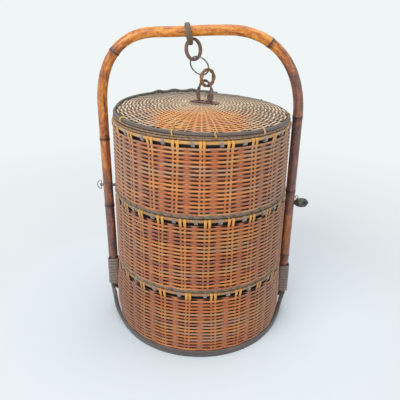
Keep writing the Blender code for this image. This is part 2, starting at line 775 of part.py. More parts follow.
def make_chain(path):
    """Rings from the handle's bar down to the loop that passes the lid; gives the loop's centre."""
    half = half_height(bar_ring_reach, 0.0, bar_ring_tilt)
    bar_height = bar_height_at(path, bar_ring_x)
    place = Vector((bar_ring_x, 0, bar_height + pole_radius + bar_ring_room + bar_ring_rod - half))
    bar_ring = add_piece("bar_ring", link_body(place, bar_ring_reach, bar_ring_rod, math.pi / 2,
                                               tilt=bar_ring_tilt), RATTAN)
    move_origin(bar_ring, (place.x, 0, bar_height))
    links = (("upper_link", upper_link_reach, upper_link_rod, upper_link_shift, upper_link_lap,
              upper_link_turn, upper_link_lean, upper_link_tilt, RATTAN),
             ("wire_ring", wire_ring_reach, wire_ring_rod, wire_ring_shift, wire_ring_lap,
              wire_ring_turn, wire_ring_lean, wire_ring_tilt, WIRE),
             ("lower_link", lower_link_reach, lower_link_rod, lower_link_shift, lower_link_lap,
              lower_link_turn, lower_link_lean, lower_link_tilt, RATTAN))
    for name, reach, rod, shift, lap, turn, lean, tilt, finish in links:
        above = place
        above_half = half
        half = half_height(reach, lean, tilt)
        place = next_ring(above, above_half, shift, lap, half)
        link = add_piece(name, link_body(place, reach, rod, turn, lean, tilt), finish)
        if name != "lower_link":
            move_origin(link, lap_middle(above, place, above_half, lap))
    top = place.z - half + lid_loop_lap
    low = lid_top(0.0) - lid_disc_thickness - lid_loop_room - lid_loop_rod
    centre = Vector((place.x + lid_loop_shift[0], place.y + lid_loop_shift[1], (top + low) / 2))
    loop = add_piece("lid_loop", link_body(centre, (lid_loop_width_reach, (top - low) / 2), lid_loop_rod,
                                           lid_loop_turn, lid_loop_lean), RATTAN)
    move_origin(link, lap_middle(place, centre, half, lid_loop_lap))
    move_origin(loop, (centre.x, centre.y, top))
    return centre


def lathe_along_x(profile, start_x, side, height, facets, rib_share=0.0):
    """Turn (length, radius) points round an X axis; alternate facets may stand back as ribs."""
    rings = []
    for length, radius in profile:
        ring = []
        for facet in range(facets):
            angle = facet * 2 * math.pi / facets
            thick = radius * (1 - rib_share * (facet % 2))
            ring.append(Vector((start_x + side * length, thick * math.cos(angle),
                                height + thick * math.sin(angle))))
        rings.append(ring)
    return skin_rings(rings)


def pull_ring_line(ring_x):
    """A bail's centre line: a straight leg through the pin's head and a bowed outer side."""
    half = pull_ring_height / 2 - pull_ring_wire
    bulge = pull_ring_width - 2 * pull_ring_wire
    line = [Vector((ring_x, 0, left_pin_height + half * share)) for share in pull_ring_leg_shares]
    for step in range(pull_ring_bow_points):
        angle = math.pi / 2 - (step + 0.5) * math.pi / pull_ring_bow_points
        line.append(Vector((ring_x - bulge * math.cos(angle), 0, left_pin_height + half * math.sin(angle))))
    return line


def make_left_pin(path):
    """A plain pin with a drilled head, and the bail ring that pulls it."""
    tip = -(wall_radius_at(left_pin_height) + pin_tip_gap)
    head_x = post_x_at(path, left_pin_height, -1) - pole_radius - seat_gap
    shaft = tip - head_x
    profile = ((0.0, left_pin_radius), (shaft, left_pin_radius), (shaft, left_head_radius),
               (shaft + left_head_length, left_head_radius))
    pin = add_piece("left_pin", lathe_along_x(profile, tip, -1, left_pin_height, pole_facets), WIRE)
    ring_x = head_x - left_head_length / 2
    hole_length = 2 * left_head_radius + cut_overrun
    cut_with(pin, round_cutter("pull_ring_hole", pull_ring_wire + seat_gap, hole_length,
                               (ring_x, 0, left_pin_height), Matrix.Identity(4)))
    line = pull_ring_line(ring_x)
    across = Vector((0, 1, 0))
    rings = []
    for index, point in enumerate(line):
        along = (line[(index + 1) % len(line)] - line[index - 1]).normalized()
        inward = along.cross(across)
        turns = [side * 2 * math.pi / wire_facets for side in range(wire_facets)]
        rings.append([point + pull_ring_wire * (math.cos(turn) * across + math.sin(turn) * inward)
                      for turn in turns])
    ring = add_piece("left_pull_ring", skin_rings(rings, closed=True), WIRE)
    move_origin(ring, (ring_x, 0, left_pin_height))
    parent_to_empty("left_pin_body", (tip, 0, left_pin_height), [pin])


def make_right_pin(path):
    """A plain pin with a ribbed bud for a knob, and the small eye above it."""
    tip = wall_radius_at(right_pin_height) + pin_tip_gap
    surface = post_x_at(path, right_pin_height, 1) + pole_radius
    shaft = surface + seat_gap - tip
    ends = ((0.0, right_pin_radius), (shaft, right_pin_radius))
    stem = add_piece("right_pin", lathe_along_x(ends, tip, 1, right_pin_height, pole_facets), WIRE)
    profile = [(length * bud_length, share * bud_radius) for length, share in bud_profile_shares]
    bud = add_piece("right_knob", lathe_along_x(profile, tip + shaft + seat_gap, 1, right_pin_height,
                                                2 * bud_ribs, bud_rib_share), WIRE)
    eye_x = post_x_at(path, eye_height, 1) + pole_radius + seat_gap + eye_radius + eye_wire
    add_piece("right_eye", link_body((eye_x, 0, eye_height), (eye_radius, eye_radius), eye_wire, 0.0,
                                     points=eye_points), WIRE)
    parent_to_empty("right_pin_body", (tip, 0, right_pin_height), [stem, bud])


def build_basket():
    """Clear the scene and make every piece."""
    for leftover in list(bpy.data.objects):
        bpy.data.objects.remove(leftover, do_unlink=True)
    path = pole_path()
    make_pole(path)
    make_straps()
    make_lashing("left_lashing", left_foot_x, -1, left_lashing_height)
    make_lashing("right_lashing", right_foot_x, 1, right_lashing_height)
    make_base()
    middle = make_tier("middle", bottom_seat_height + seat_gap, middle_seat_height, middle_stakes)
    parent_to_empty("middle_tier", (0, 0, bottom_seat_height), middle)
    top = make_tier("top", middle_seat_height + seat_gap, top_seat_height, top_stakes)
    parent_to_empty("top_tier", (0, 0, middle_seat_height), top)
    loop_centre = make_chain(path)
    parent_to_empty("lid", (0, 0, top_seat_height), make_lid(loop_centre))
    make_left_pin(path)
    make_right_pin(path)


build_basket()
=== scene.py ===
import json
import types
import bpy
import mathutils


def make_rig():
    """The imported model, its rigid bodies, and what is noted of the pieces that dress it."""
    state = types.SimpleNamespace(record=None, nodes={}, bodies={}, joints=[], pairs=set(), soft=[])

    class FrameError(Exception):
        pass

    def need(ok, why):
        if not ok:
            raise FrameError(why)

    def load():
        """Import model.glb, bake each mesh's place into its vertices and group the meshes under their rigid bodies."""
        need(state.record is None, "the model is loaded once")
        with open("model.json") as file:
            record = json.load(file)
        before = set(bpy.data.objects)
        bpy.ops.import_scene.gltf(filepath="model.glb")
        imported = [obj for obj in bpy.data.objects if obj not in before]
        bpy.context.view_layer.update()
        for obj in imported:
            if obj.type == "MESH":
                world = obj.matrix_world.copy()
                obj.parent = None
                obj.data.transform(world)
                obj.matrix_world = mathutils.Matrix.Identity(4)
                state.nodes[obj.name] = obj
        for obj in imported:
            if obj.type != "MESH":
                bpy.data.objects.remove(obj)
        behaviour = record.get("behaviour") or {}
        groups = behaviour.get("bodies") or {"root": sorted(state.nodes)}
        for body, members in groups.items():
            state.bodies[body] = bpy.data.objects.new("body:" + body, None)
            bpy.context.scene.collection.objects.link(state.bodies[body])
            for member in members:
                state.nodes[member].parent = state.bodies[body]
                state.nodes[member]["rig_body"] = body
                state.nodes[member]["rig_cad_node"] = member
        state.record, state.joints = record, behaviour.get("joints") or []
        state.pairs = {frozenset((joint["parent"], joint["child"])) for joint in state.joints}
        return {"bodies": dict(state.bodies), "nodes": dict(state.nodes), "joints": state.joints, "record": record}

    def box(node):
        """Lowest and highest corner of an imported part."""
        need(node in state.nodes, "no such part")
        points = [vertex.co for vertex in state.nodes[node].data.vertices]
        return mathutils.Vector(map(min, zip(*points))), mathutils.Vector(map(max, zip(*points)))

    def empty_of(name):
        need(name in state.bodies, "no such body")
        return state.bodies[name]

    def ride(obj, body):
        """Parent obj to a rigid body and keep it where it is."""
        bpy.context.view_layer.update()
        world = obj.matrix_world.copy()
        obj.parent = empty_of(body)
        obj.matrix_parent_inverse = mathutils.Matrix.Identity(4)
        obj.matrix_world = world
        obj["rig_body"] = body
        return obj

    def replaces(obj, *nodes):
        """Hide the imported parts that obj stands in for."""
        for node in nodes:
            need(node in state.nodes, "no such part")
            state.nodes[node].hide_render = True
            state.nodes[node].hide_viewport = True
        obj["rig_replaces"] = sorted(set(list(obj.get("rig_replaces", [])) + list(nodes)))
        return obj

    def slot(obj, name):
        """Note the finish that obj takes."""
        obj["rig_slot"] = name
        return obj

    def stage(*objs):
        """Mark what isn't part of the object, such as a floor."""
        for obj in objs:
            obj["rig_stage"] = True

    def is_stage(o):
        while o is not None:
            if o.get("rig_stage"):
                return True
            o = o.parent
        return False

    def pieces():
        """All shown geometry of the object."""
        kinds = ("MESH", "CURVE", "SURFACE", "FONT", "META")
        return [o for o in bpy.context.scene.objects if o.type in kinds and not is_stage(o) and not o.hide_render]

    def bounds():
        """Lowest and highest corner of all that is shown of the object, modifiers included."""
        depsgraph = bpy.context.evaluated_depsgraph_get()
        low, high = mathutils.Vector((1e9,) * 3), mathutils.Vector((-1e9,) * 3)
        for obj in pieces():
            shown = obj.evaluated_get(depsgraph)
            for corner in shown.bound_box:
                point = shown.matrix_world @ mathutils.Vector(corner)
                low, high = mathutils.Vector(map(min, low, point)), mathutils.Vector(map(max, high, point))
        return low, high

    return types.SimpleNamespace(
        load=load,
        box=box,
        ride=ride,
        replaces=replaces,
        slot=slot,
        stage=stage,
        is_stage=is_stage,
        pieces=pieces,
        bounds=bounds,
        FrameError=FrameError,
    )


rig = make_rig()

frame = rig.load()

import json
import math

import bmesh
import bpy
from mathutils import Matrix, Vector, geometry

cad_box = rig.bounds()

full_turn = 2 * math.pi

# The basket's sizes in metres, as its solids have them
seat_gap = 0.0003
bottom_seat = 0.1178
middle_seat = 0.2391
top_seat = 0.3525
seam_radius = 0.137
wall_taper = 0.00384
taper_end = 0.040
weave_foot = 0.0125
weave_front = -0.0002
weave_back = -0.0034
weave_flush = -0.0012
weave_overlap = 0.0012
foot_tuck = 0.0006
stake_shift = 0.0232
wall_fullness = 0.0026
top_slimness = 0.0010
rope_points = 380
rim_opening = 0.0064
rod_radius = 0.0024
pole_radius = 0.0077
left_post_x = -0.1530
right_post_x = 0.1487
left_foot_x = -0.1500
right_foot_x = 0.1487
left_pole_end = 0.0460
right_pole_end = 0.0380
lashing_pitch = 0.0055
lashing_turns = 9
scarf_offset = 0.0015
scarf_length = 0.0564
strap_thickness = 0.0045
strap_foot_width = 0.00535
strap_forward = -0.002825
strap_hoop_radius = 0.13725
strap_hoop_height = 0.0058
strap_hoop_thickness = 0.0035
strap_hoop_width = 0.0116
knuckle_shares = (0.141, 0.246, 0.373, 0.4785, 0.5945, 0.710, 0.823, 0.9325)
lid_lean = 0.020
lid_hoop_radius = 0.1330
lid_hoop_height = 0.3610
lid_edge_radius = 0.1274
lid_edge_top = 0.3636
lid_rise = 0.0098
left_pin_height = 0.2350
left_pin_eye_x = -0.16266
right_pin_height = 0.2090
loop_centre = Vector((0.0042, -0.0006, 0.38697))
loop_turn = -19


def tint(red, green, blue):
    """A colour as the eye reads it, 0 to 255, turned into light values."""
    values = [channel / 255 for channel in (red, green, blue)]
    return tuple(v / 12.92 if v <= 0.04045 else ((v + 0.055) / 1.055) ** 2.4 for v in values) + (1.0,)


def clamp(value):
    """The value kept between nought and one."""
    return min(max(value, 0.0), 1.0)


def soft_step(value):
    """Nought to one with soft ends."""
    value = clamp(value)
    return value * value * (3 - 2 * value)


def squared_off(value, power):
    """A sine or cosine pushed outwards, which makes a rounded square of a circle."""
    return math.copysign(abs(value) ** power, value)


def round_angles(count):
    """Even angles round a circle."""
    return [index * full_turn / count for index in range(count)]


def coil(turns):
    """Points of a winding: how far along each is, from the middle, and the cosine and sine of its turn."""
    last = 24 * turns
    return [(index / last - 0.5, math.cos(full_turn * index / 24), math.sin(full_turn * index / 24))
            for index in range(last + 1)]


def wall_radius(height):
    """Outer radius of the woven walls, which widen a little from the top seam down."""
    return seam_radius + wall_taper * (top_seat - max(height, taper_end))


def weave_radius(height):
    """Outer radius of the weave: the top tier is a little slim."""
    return wall_radius(height) - (top_slimness if 0.242 < height < 0.338 else 0.0)


def polar(radius, angle, height):
    """A point round the basket's axis, with the angle counted from the front towards +X."""
    return Vector((radius * math.sin(angle), -radius * math.cos(angle), height))


def add_object(name, data):
    """Put a mesh, lamp or camera in the scene at the origin."""
    thing = bpy.data.objects.new(name, data)
    bpy.context.scene.collection.objects.link(thing)
    return thing


def mesh_of(name, bm):
    """Turn a bmesh into a plain mesh."""
    mesh = bpy.data.meshes.new(name)
    bm.to_mesh(mesh)
    bm.free()
    return mesh


# Node trees


class Term:
    """One output of a node. Plain signs between terms and numbers add the nodes of the sum."""

    def __init__(self, node, output=0):
        self.node = node
        self.output = output

    def __getitem__(self, output):
        return Term(self.node, output)

    def __iter__(self):
        return (Term(self.node, output) for output in range(len(self.node.outputs)))

    def work(self, operation, *others):
        """This term and others put through one operation."""
        return maths(self.node.id_data, operation, self, *others)

    def __add__(self, other):
        return self.work("ADD", other)

    def __sub__(self, other):
        return self.work("SUBTRACT", other)

    def __rsub__(self, other):
        return maths(self.node.id_data, "SUBTRACT", other, self)

    def __mul__(self, other):
        return self.work("MULTIPLY", other)

    def __truediv__(self, other):
        return self.work("DIVIDE", other)

    def __rtruediv__(self, other):
        return maths(self.node.id_data, "DIVIDE", other, self)

    def ranged(self, low, high, to_low=0.0, to_high=1.0, kind="LINEAR"):
        """Carry this value from one span to another."""
        return add(self.node.id_data, "ShaderNodeMapRange", {
            "Value": self, "From Min": low, "From Max": high, "To Min": to_low, "To Max": to_high},
            interpolation_type=kind)

    def blend(self, first, second):
        """Go from one colour to another by this share."""
        first, second = (tint(*colour) if isinstance(colour, tuple) else colour for colour in (first, second))
        return add(self.node.id_data, "ShaderNodeMix", {0: self, 6: first, 7: second}, data_type="RGBA")[2]


def fill(node, inputs):
    """Link terms to a node's inputs and set numbers on them."""
    for name, value in inputs.items():
        if isinstance(value, Term):
            node.id_data.links.new(value.node.outputs[value.output], node.inputs[name])
        else:
            node.inputs[name].default_value = value


def add(tree, kind, inputs=None, **options):
    """Add a node, set its options and fill its inputs."""
    node = tree.nodes.new(kind)
    for option, value in options.items():
        setattr(node, option, value)
    fill(node, inputs or {})
    return Term(node)


def maths(tree, operation, *values):
    """One operation on terms or numbers."""
    return add(tree, "ShaderNodeMath", dict(enumerate(values)), operation=operation)


def combine(tree, x, y, z):
    """A vector from three terms or numbers."""
    return add(tree, "ShaderNodeCombineXYZ", {0: x, 1: y, 2: z})


def noise(tree, place, scale, detail=2.0, dimensions="3D", **others):
    """Cloudy noise about a half."""
    return add(tree, "ShaderNodeTexNoise", {"Vector": place, "Scale": scale, "Detail": detail, **others},
               noise_dimensions=dimensions)


def chance(tree, x, y, z):
    """An even random number for each three numbers."""
    return add(tree, "ShaderNodeTexWhiteNoise", {"Vector": combine(tree, x, y, z)}, noise_dimensions="3D")


# Camera, floor and light


def add_camera():
    """Stand where the photograph was taken from."""
    lens = bpy.data.cameras.new("photo_view")
    lens.lens = 45.0
    lens.sensor_width = 36.0
    lens.clip_start = 0.02
    camera = add_object("photo_view", lens)
    right = Vector((0.99982, 0.00913, 0.01648))
    up = Vector((-0.01875, 0.39894, 0.91679))
    back = right.cross(up).normalized()
    up = back.cross(right).normalized()
    turn = Matrix((right, up, back)).transposed().to_4x4()
    camera.matrix_world = Matrix.Translation((0.0012, -0.7631, 0.5423)) @ turn
    bpy.context.scene.camera = camera


def add_lamp(name, place, target, power, colour):
    """A large soft lamp."""
    light = bpy.data.lights.new(name, "AREA")
    light.shape = "SQUARE"
    light.size = 1.6
    light.energy = power
    light.color = colour
    lamp = add_object(name, light)
    lamp.location = place
    lamp.rotation_euler = (Vector(target) - Vector(place)).to_track_quat("-Z", "Y").to_euler()


def seen_directly(tree):
    """One where the camera, gloss or glass looks, and zero where light is gathered."""
    path = add(tree, "ShaderNodeLightPath")
    direct = path["Is Camera Ray"].work("MAXIMUM", path["Is Glossy Ray"])
    return direct.work("MAXIMUM", path["Is Transmission Ray"])


def add_world():
    """Even pale surroundings."""
    world = bpy.data.worlds.new("studio")
    world.use_nodes = True
    tree = world.node_tree
    tree.nodes.clear()
    light = add(tree, "ShaderNodeBackground", {"Color": (0.95, 0.975, 1.0, 1.0), "Strength": 0.62})
    backdrop = add(tree, "ShaderNodeBackground", {"Color": backdrop_colour, "Strength": 1.0})
    mix = add(tree, "ShaderNodeMixShader", {0: seen_directly(tree), 1: light, 2: backdrop})
    add(tree, "ShaderNodeOutputWorld", {"Surface": mix})
    bpy.context.scene.world = world


def floor_finish():
    """Pale matt floor that fades into the backdrop away from the basket."""
    material = bpy.data.materials.new("pale_floor")
    material.use_nodes = True
    tree = material.node_tree
    tree.nodes.clear()
    place = add(tree, "ShaderNodeTexCoord")["Object"]
    reach = add(tree, "ShaderNodeVectorMath", {0: place}, operation="LENGTH")["Value"]
    folds = noise(tree, place, 2.2)
    bump = add(tree, "ShaderNodeBump", {"Strength": 0.05, "Distance": 0.02, "Height": folds})
    # Painted light: close to the basket the floor is paler and bluer, lifting the shade and the warm bounce round its
    # foot.
    colour = reach.ranged(0.16, 0.40).blend((237, 248, 255), (230, 234, 238))
    cloth = add(tree, "ShaderNodeBsdfDiffuse", {"Color": colour, "Normal": bump})
    glow = add(tree, "ShaderNodeEmission", {"Color": backdrop_colour, "Strength": 1.0})
    share = reach.ranged(0.15, 1.2, kind="SMOOTHSTEP") * seen_directly(tree)
    mix = add(tree, "ShaderNodeMixShader", {0: share, 1: cloth, 2: glow})
    add(tree, "ShaderNodeOutputMaterial", {"Surface": mix})
    return material


def add_floor():
    """One wide floor under the basket."""
    bm = bmesh.new()
    bmesh.ops.create_circle(bm, cap_ends=True, segments=96, radius=6.0)
    bm.transform(Matrix.Translation((0, 0, -0.0001)))
    floor = add_object("floor", mesh_of("floor", bm))
    floor.data.materials.append(floor_finish())
    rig.stage(floor)


backdrop_colour = tint(240, 246, 246)
bpy.context.scene.view_settings.view_transform = "Standard"
add_camera()
add_world()
add_floor()
add_lamp("key_lamp", (-1.1, -1.5, 1.7), (0, 0, 0.22), 26, (1.0, 0.985, 0.96))
add_lamp("top_lamp", (0.4, 0.2, 2.1), (0, 0, 0.2), 12, (1.0, 1.0, 1.0))


# Finishes


def start_finish(name):
    """A material, its tree and the place on the piece."""
    material = bpy.data.materials.new(name)
    material.use_nodes = True
    tree = material.node_tree
    return material, tree, add(tree, "ShaderNodeTexCoord")["Object"]


def end_finish(tree, colour, roughness, height, strength, distance, constants):
    """Give the shader its colour, roughness, grain and constants."""
    bump = add(tree, "ShaderNodeBump", {"Strength": strength, "Distance": distance, "Height": height})
    fill(tree.nodes["Principled BSDF"],
         {"Base Color": colour, "Roughness": roughness, "Normal": bump, **constants})


def kept(tree, name):
    """A value that was kept on the mesh."""
    return add(tree, "ShaderNodeAttribute", attribute_name=name)["Fac"]


def ramp(tree, value, stops):
    """Colours at their places, picked by a value."""
    picked = add(tree, "ShaderNodeValToRGB", {0: value})
    elements = picked.node.color_ramp.elements
    for element, (place, colour) in zip(elements, (stops[0], stops[-1])):
        element.position = place
        element.color = tint(*colour)
    for place, colour in stops[1:-1]:
        elements.new(place).color = tint(*colour)
    return picked


def tone_ramp(tree, value, tones):
    """An even row of tones picked by a value."""
    return ramp(tree, value, [(0.10 + 0.80 * index / (len(tones) - 1), tone)
                              for index, tone in enumerate(tones)])


def cane_finish(name, dark, body, light, tones=(), streak=0.55, roughness=0.5, gloss=0.5, fibres=34.0,
                spots=0.35, recess_shade=None, sides=None, side_sheen_share=0.5, low_shade_share=0.0, rear=None, bent=None,
                tips=None):
    """Cane or bamboo: long fibres, a tone for each length, spots, painted sheen on the outer sides, and painted shade
    low down and where it lies deep.
    """
    material, tree, where = start_finish(name)
    turn = kept(tree, "round") * full_turn
    along, tone, front = (kept(tree, label) for label in ("along", "tone", "front"))
    fibre = noise(tree, combine(tree, along * (0.06 * fibres), turn.work("COSINE") + tone * 9.0,
                                turn.work("SINE")), 6.0, 4.0, Roughness=0.6)
    value = tone * 0.78 + noise(tree, where, 85.0, 3.0) * 0.22
    colour = tone_ramp(tree, value, tones or (dark, body, body, light))
    across, forward, upward = add(tree, "ShaderNodeSeparateXYZ", {0: where})
    aside = across.work("ABSOLUTE")
    # Strength of the painted shade in the recesses.
    recess_shade_share = 0.95
    if rear:
        patchy = (noise(tree, where, 45.0) - 0.5) * 0.05
        behind = (forward + patchy).ranged(-0.066, -0.022, kind="SMOOTHSTEP")
        outside = (aside + patchy).ranged(0.050, 0.094, kind="SMOOTHSTEP")
        away = behind.work("MAXIMUM", outside)
        colour = away.blend(colour, tone_ramp(tree, value, rear))
        colour = forward.ranged(0.018, 0.085, 0.0, 0.84).blend(colour, (98, 100, 100))
        recess_shade_share = (away * 0.65 + 0.35) * recess_shade_share
    if bent:
        colour = kept(tree, "bend").ranged(0.62, 0.95, 0.0, 0.55).blend(colour, bent)
    colour = fibre.ranged(0.47, 0.36, 0.0, streak).blend(colour, dark)
    colour = fibre.ranged(0.52, 0.66, 0.0, streak).blend(colour, light)
    if tips:
        colour = front.ranged(1.0, 2.0, 0.0, 0.72).blend(colour, tips)
    colour = noise(tree, where, 420.0).ranged(0.60, 0.72, 0.0, spots).blend(colour, dark)
    if sides:
        # Painted shade: darker low down on the basket, and more so at the lower left.
        left_foot = upward.ranged(0.13, 0.10, 0.0, 1.7 * low_shade_share) * across.ranged(-0.02, -0.10)
        lower = left_foot + upward.ranged(0.26, 0.22, 0.0, low_shade_share)
        # Painted sheen: towards the outer sides the colour turns paler and greyer, standing for the gloss seen at a
        # grazing angle.
        colour = aside.ranged(0.045, 0.125, 0.0, side_sheen_share, "SMOOTHSTEP").blend(colour, sides)
        colour = lower.blend(colour, dark)
    # Painted shade: where the cane lies deep, between rows and behind stakes or spokes, it turns towards the dark
    # recess colour.
    if recess_shade:
        colour = front.ranged(0.1, 0.9, recess_shade_share, 0.0).blend(colour, recess_shade)
    end_finish(tree, colour, fibre.ranged(0.3, 0.7, roughness - 0.1, roughness + 0.1), fibre, 0.25, 0.0005,
               {"Specular IOR Level": gloss})
    return material


def pole_finish():
    """Old varnished bamboo: bright orange worn through dark red-brown, with dark knuckles."""
    material, tree, where = start_finish("varnished_bamboo")
    turn = kept(tree, "round") * full_turn
    along, knuckle, shade = (kept(tree, label) for label in ("along", "knuckle", "shade"))
    long_way = combine(tree, along * 26.0, turn.work("COSINE"), turn.work("SINE"))
    patch = noise(tree, long_way, 1.5, 5.0, Roughness=0.66)
    fine = noise(tree, long_way, 9.0, 4.0)
    value = (patch * 0.55 + fine * 0.25) + noise(tree, where, 130.0, 4.0, Roughness=0.65) * 0.20
    colour = ramp(tree, value - shade * 0.16, (
        (0.30, (70, 44, 42)), (0.39, (128, 78, 58)), (0.45, (184, 100, 44)), (0.52, (230, 146, 52)),
        (0.63, (250, 190, 88))))
    colour = (shade * 0.44).blend(colour, (112, 98, 102))
    colour = knuckle.ranged(0.2, 0.9, 0.0, 0.9).blend(colour, (56, 34, 28))
    end_finish(tree, colour, patch.ranged(0.3, 0.7, 0.42, 0.27), fine, 0.22, 0.0006,
               {"Coat Weight": 0.25, "Coat Roughness": 0.25})
    return material


def metal_finish(name, dark, light, metallic):
    """Oxidised metal with blotches and fine pits."""
    material, tree, where = start_finish(name)
    blotch = noise(tree, where, 260.0, 5.0)
    end_finish(tree, ramp(tree, blotch, ((0.36, dark), (0.66, light))), blotch.ranged(0.3, 0.7, 0.54, 0.30),
               noise(tree, where, 1500.0), 0.3, 0.0003, {"Metallic": metallic})
    return material


varnished_bamboo = pole_finish()
woven_cane = cane_finish(
    "woven_cane", (112, 56, 38), (196, 120, 74), (242, 184, 128),
    ((158, 92, 84), (196, 110, 64), (218, 126, 60), (232, 150, 80), (208, 154, 102), (192, 142, 124)),
    # Its recess colour is painted shade between the rows, its side colour painted sheen, and the lower tiers are
    # painted darker as shade.
    recess_shade=(40, 20, 18), sides=(164, 140, 124), side_sheen_share=0.58, low_shade_share=0.17, bent=(184, 96, 58))
gold_stakes = cane_finish(
    "gold_stakes", (130, 72, 34), (206, 140, 70), (236, 184, 110),
    ((190, 116, 58), (214, 142, 70), (202, 148, 82), (218, 158, 102)), streak=0.4,
    # The side colour is painted sheen, and the stakes are painted darker low down as shade.
    sides=(170, 142, 116), side_sheen_share=0.6, low_shade_share=0.13, tips=(242, 176, 78))
hidden_stakes = cane_finish("hidden_stakes", (60, 28, 20), (112, 58, 38), (140, 82, 54))
# The side colour is painted sheen.
tan_rod = cane_finish(
    "tan_rod", (140, 88, 46), (212, 156, 88), (242, 206, 146),
    ((190, 124, 66), (222, 168, 98), (204, 150, 96)), sides=(176, 160, 140))
# The side colour is painted sheen.
brown_rod = cane_finish(
    "brown_rod", (96, 66, 46), (168, 124, 82), (222, 182, 130),
    ((128, 96, 74), (182, 132, 82), (150, 116, 88), (196, 148, 88)), streak=0.7, fibres=90.0,
    sides=(140, 126, 110))
pale_binding = cane_finish(
    "pale_binding", (120, 108, 108), (170, 156, 154), (214, 202, 194),
    ((150, 138, 140), (176, 160, 158), (190, 166, 142), (162, 150, 146)))
gold_binding = cane_finish("gold_binding", (196, 146, 70), (232, 190, 104), (248, 222, 150))
gold_pink_binding = cane_finish("gold_pink_binding", (190, 146, 110), (226, 186, 148), (244, 216, 184))
grey_rope = cane_finish(
    "grey_rope", (52, 44, 42), (112, 98, 86), (200, 188, 162),
    ((62, 54, 50), (100, 86, 74), (138, 112, 84), (106, 100, 88)), streak=0.75, fibres=90.0, spots=0.6)
skirt_rope = cane_finish(
    "skirt_rope", (70, 54, 46), (146, 116, 92), (214, 188, 152),
    ((104, 82, 70), (166, 130, 96), (134, 112, 94)), streak=0.8, fibres=90.0)
smoked_cane = cane_finish(
    "smoked_cane", (66, 62, 62), (104, 100, 94), (164, 160, 148),
    ((88, 84, 80), (110, 106, 98), (122, 112, 100)), roughness=0.36)
# A darker copy of the smoked cane for the hoop's two lower canes: painted shade.
hoop_cane = cane_finish(
    "hoop_cane", (30, 24, 28), (58, 50, 54), (98, 88, 90),
    ((48, 40, 44), (64, 54, 58), (74, 62, 60)), roughness=0.4)
base_band = cane_finish(
    "base_band", (70, 60, 58), (108, 98, 94), (150, 138, 128),
    ((94, 84, 82), (112, 102, 98), (120, 108, 98)), roughness=0.42, spots=0.5)
lid_cane = cane_finish(
    "lid_cane", (170, 108, 70), (232, 172, 116), (250, 212, 164),
    ((232, 172, 138), (240, 174, 110), (250, 186, 120), (244, 198, 146), (250, 164, 96), (232, 182, 142)),
    rear=((192, 166, 142), (238, 212, 180), (214, 194, 168), (250, 228, 200), (206, 176, 154)),
    # The recess colour is painted shade where the rows dip under the spokes.
    recess_shade=(48, 40, 34), streak=0.3, roughness=0.66, gloss=0.2)
lid_spoke_cane = cane_finish(
    "lid_spoke_cane", (170, 116, 80), (222, 166, 118), (240, 200, 156),
    rear=((150, 140, 120), (186, 172, 148)), roughness=0.66, gloss=0.2)
bridge_cane = cane_finish("bridge_cane", (110, 76, 66), (166, 120, 98), (196, 152, 128))
border_plait = cane_finish(
    "border_plait", (70, 68, 64), (126, 124, 114), (188, 184, 168),
    ((86, 88, 78), (122, 122, 106), (104, 98, 86)), streak=0.7)
lashing_cane = cane_finish(
    "lashing_cane", (70, 62, 56), (128, 112, 104), (184, 166, 154),
    ((112, 98, 90), (144, 124, 114), (124, 118, 106), (138, 116, 110)), streak=0.65)
link_rattan = cane_finish(
    "link_rattan", (62, 46, 46), (112, 90, 84), (170, 146, 132),
    ((92, 70, 66), (122, 96, 86), (108, 92, 92)), streak=0.6)
strip_rattan = cane_finish(
    "strip_rattan", (70, 54, 44), (130, 116, 92), (190, 176, 140),
    ((108, 92, 72), (142, 130, 104), (120, 112, 92)), streak=0.6)
knot_rattan = cane_finish(
    "knot_rattan", (70, 50, 40), (134, 102, 72), (196, 160, 112),
    ((104, 98, 84), (160, 112, 66), (122, 104, 82)), streak=0.6)
# Near-black finish for the collars inside the rims: painted shade of the dark inside seen through the rim opening.
inner_bamboo_in_shade = cane_finish("inner_bamboo_in_shade", (22, 20, 22), (38, 32, 32), (64, 52, 46))
floor_bamboo = cane_finish("floor_bamboo", (104, 70, 46), (150, 108, 72), (188, 146, 104))
grey_wire = metal_finish("grey_wire", (78, 78, 74), (150, 148, 140), 0.75)
bud_metal = metal_finish("bud_metal", (52, 56, 52), (110, 112, 100), 0.7)


# Geometry trees


def titled(sizes):
    """Names for a tree's inputs from names in this script: first_angle becomes First Angle."""
    return {label.replace("_", " ").title(): value for label, value in sizes.items()}


def start_tree(name, **sizes):
    """A geometry tree whose sizes are inputs with names."""
    tree = bpy.data.node_groups.new(name, "GeometryNodeTree")
    tree.interface.new_socket("Geometry", in_out="INPUT", socket_type="NodeSocketGeometry")
    for label, value in titled(sizes).items():
        kind = "NodeSocketInt" if isinstance(value, int) else "NodeSocketFloat"
        tree.interface.new_socket(label, in_out="INPUT", socket_type=kind).default_value = value
    tree.interface.new_socket("Finish", in_out="INPUT", socket_type="NodeSocketMaterial")
    tree.interface.new_socket("Geometry", in_out="OUTPUT", socket_type="NodeSocketGeometry")
    return tree, add(tree, "NodeGroupInput")


def finish_tree(tree, given, shape):
    """Shade it, make the copies real and give the finish."""
    smooth = add(tree, "GeometryNodeSetShadeSmooth", {"Geometry": shape})
    real = add(tree, "GeometryNodeRealizeInstances", {"Geometry": smooth})
    finish = add(tree, "GeometryNodeSetMaterial", {"Geometry": real, "Material": given["Finish"]})
    add(tree, "NodeGroupOutput", {"Geometry": finish})
    return tree


def keep(tree, shape, **values):
    """Keep values on the shape under their names."""
    for name, value in values.items():
        shape = add(tree, "GeometryNodeStoreNamedAttribute", {
            "Geometry": shape, "Name": name, "Value": value}, domain="POINT", data_type="FLOAT")
    return shape


def recall(tree, name):
    """A value that was kept on the shape."""
    return add(tree, "GeometryNodeInputNamedAttribute", {"Name": name}, data_type="FLOAT")


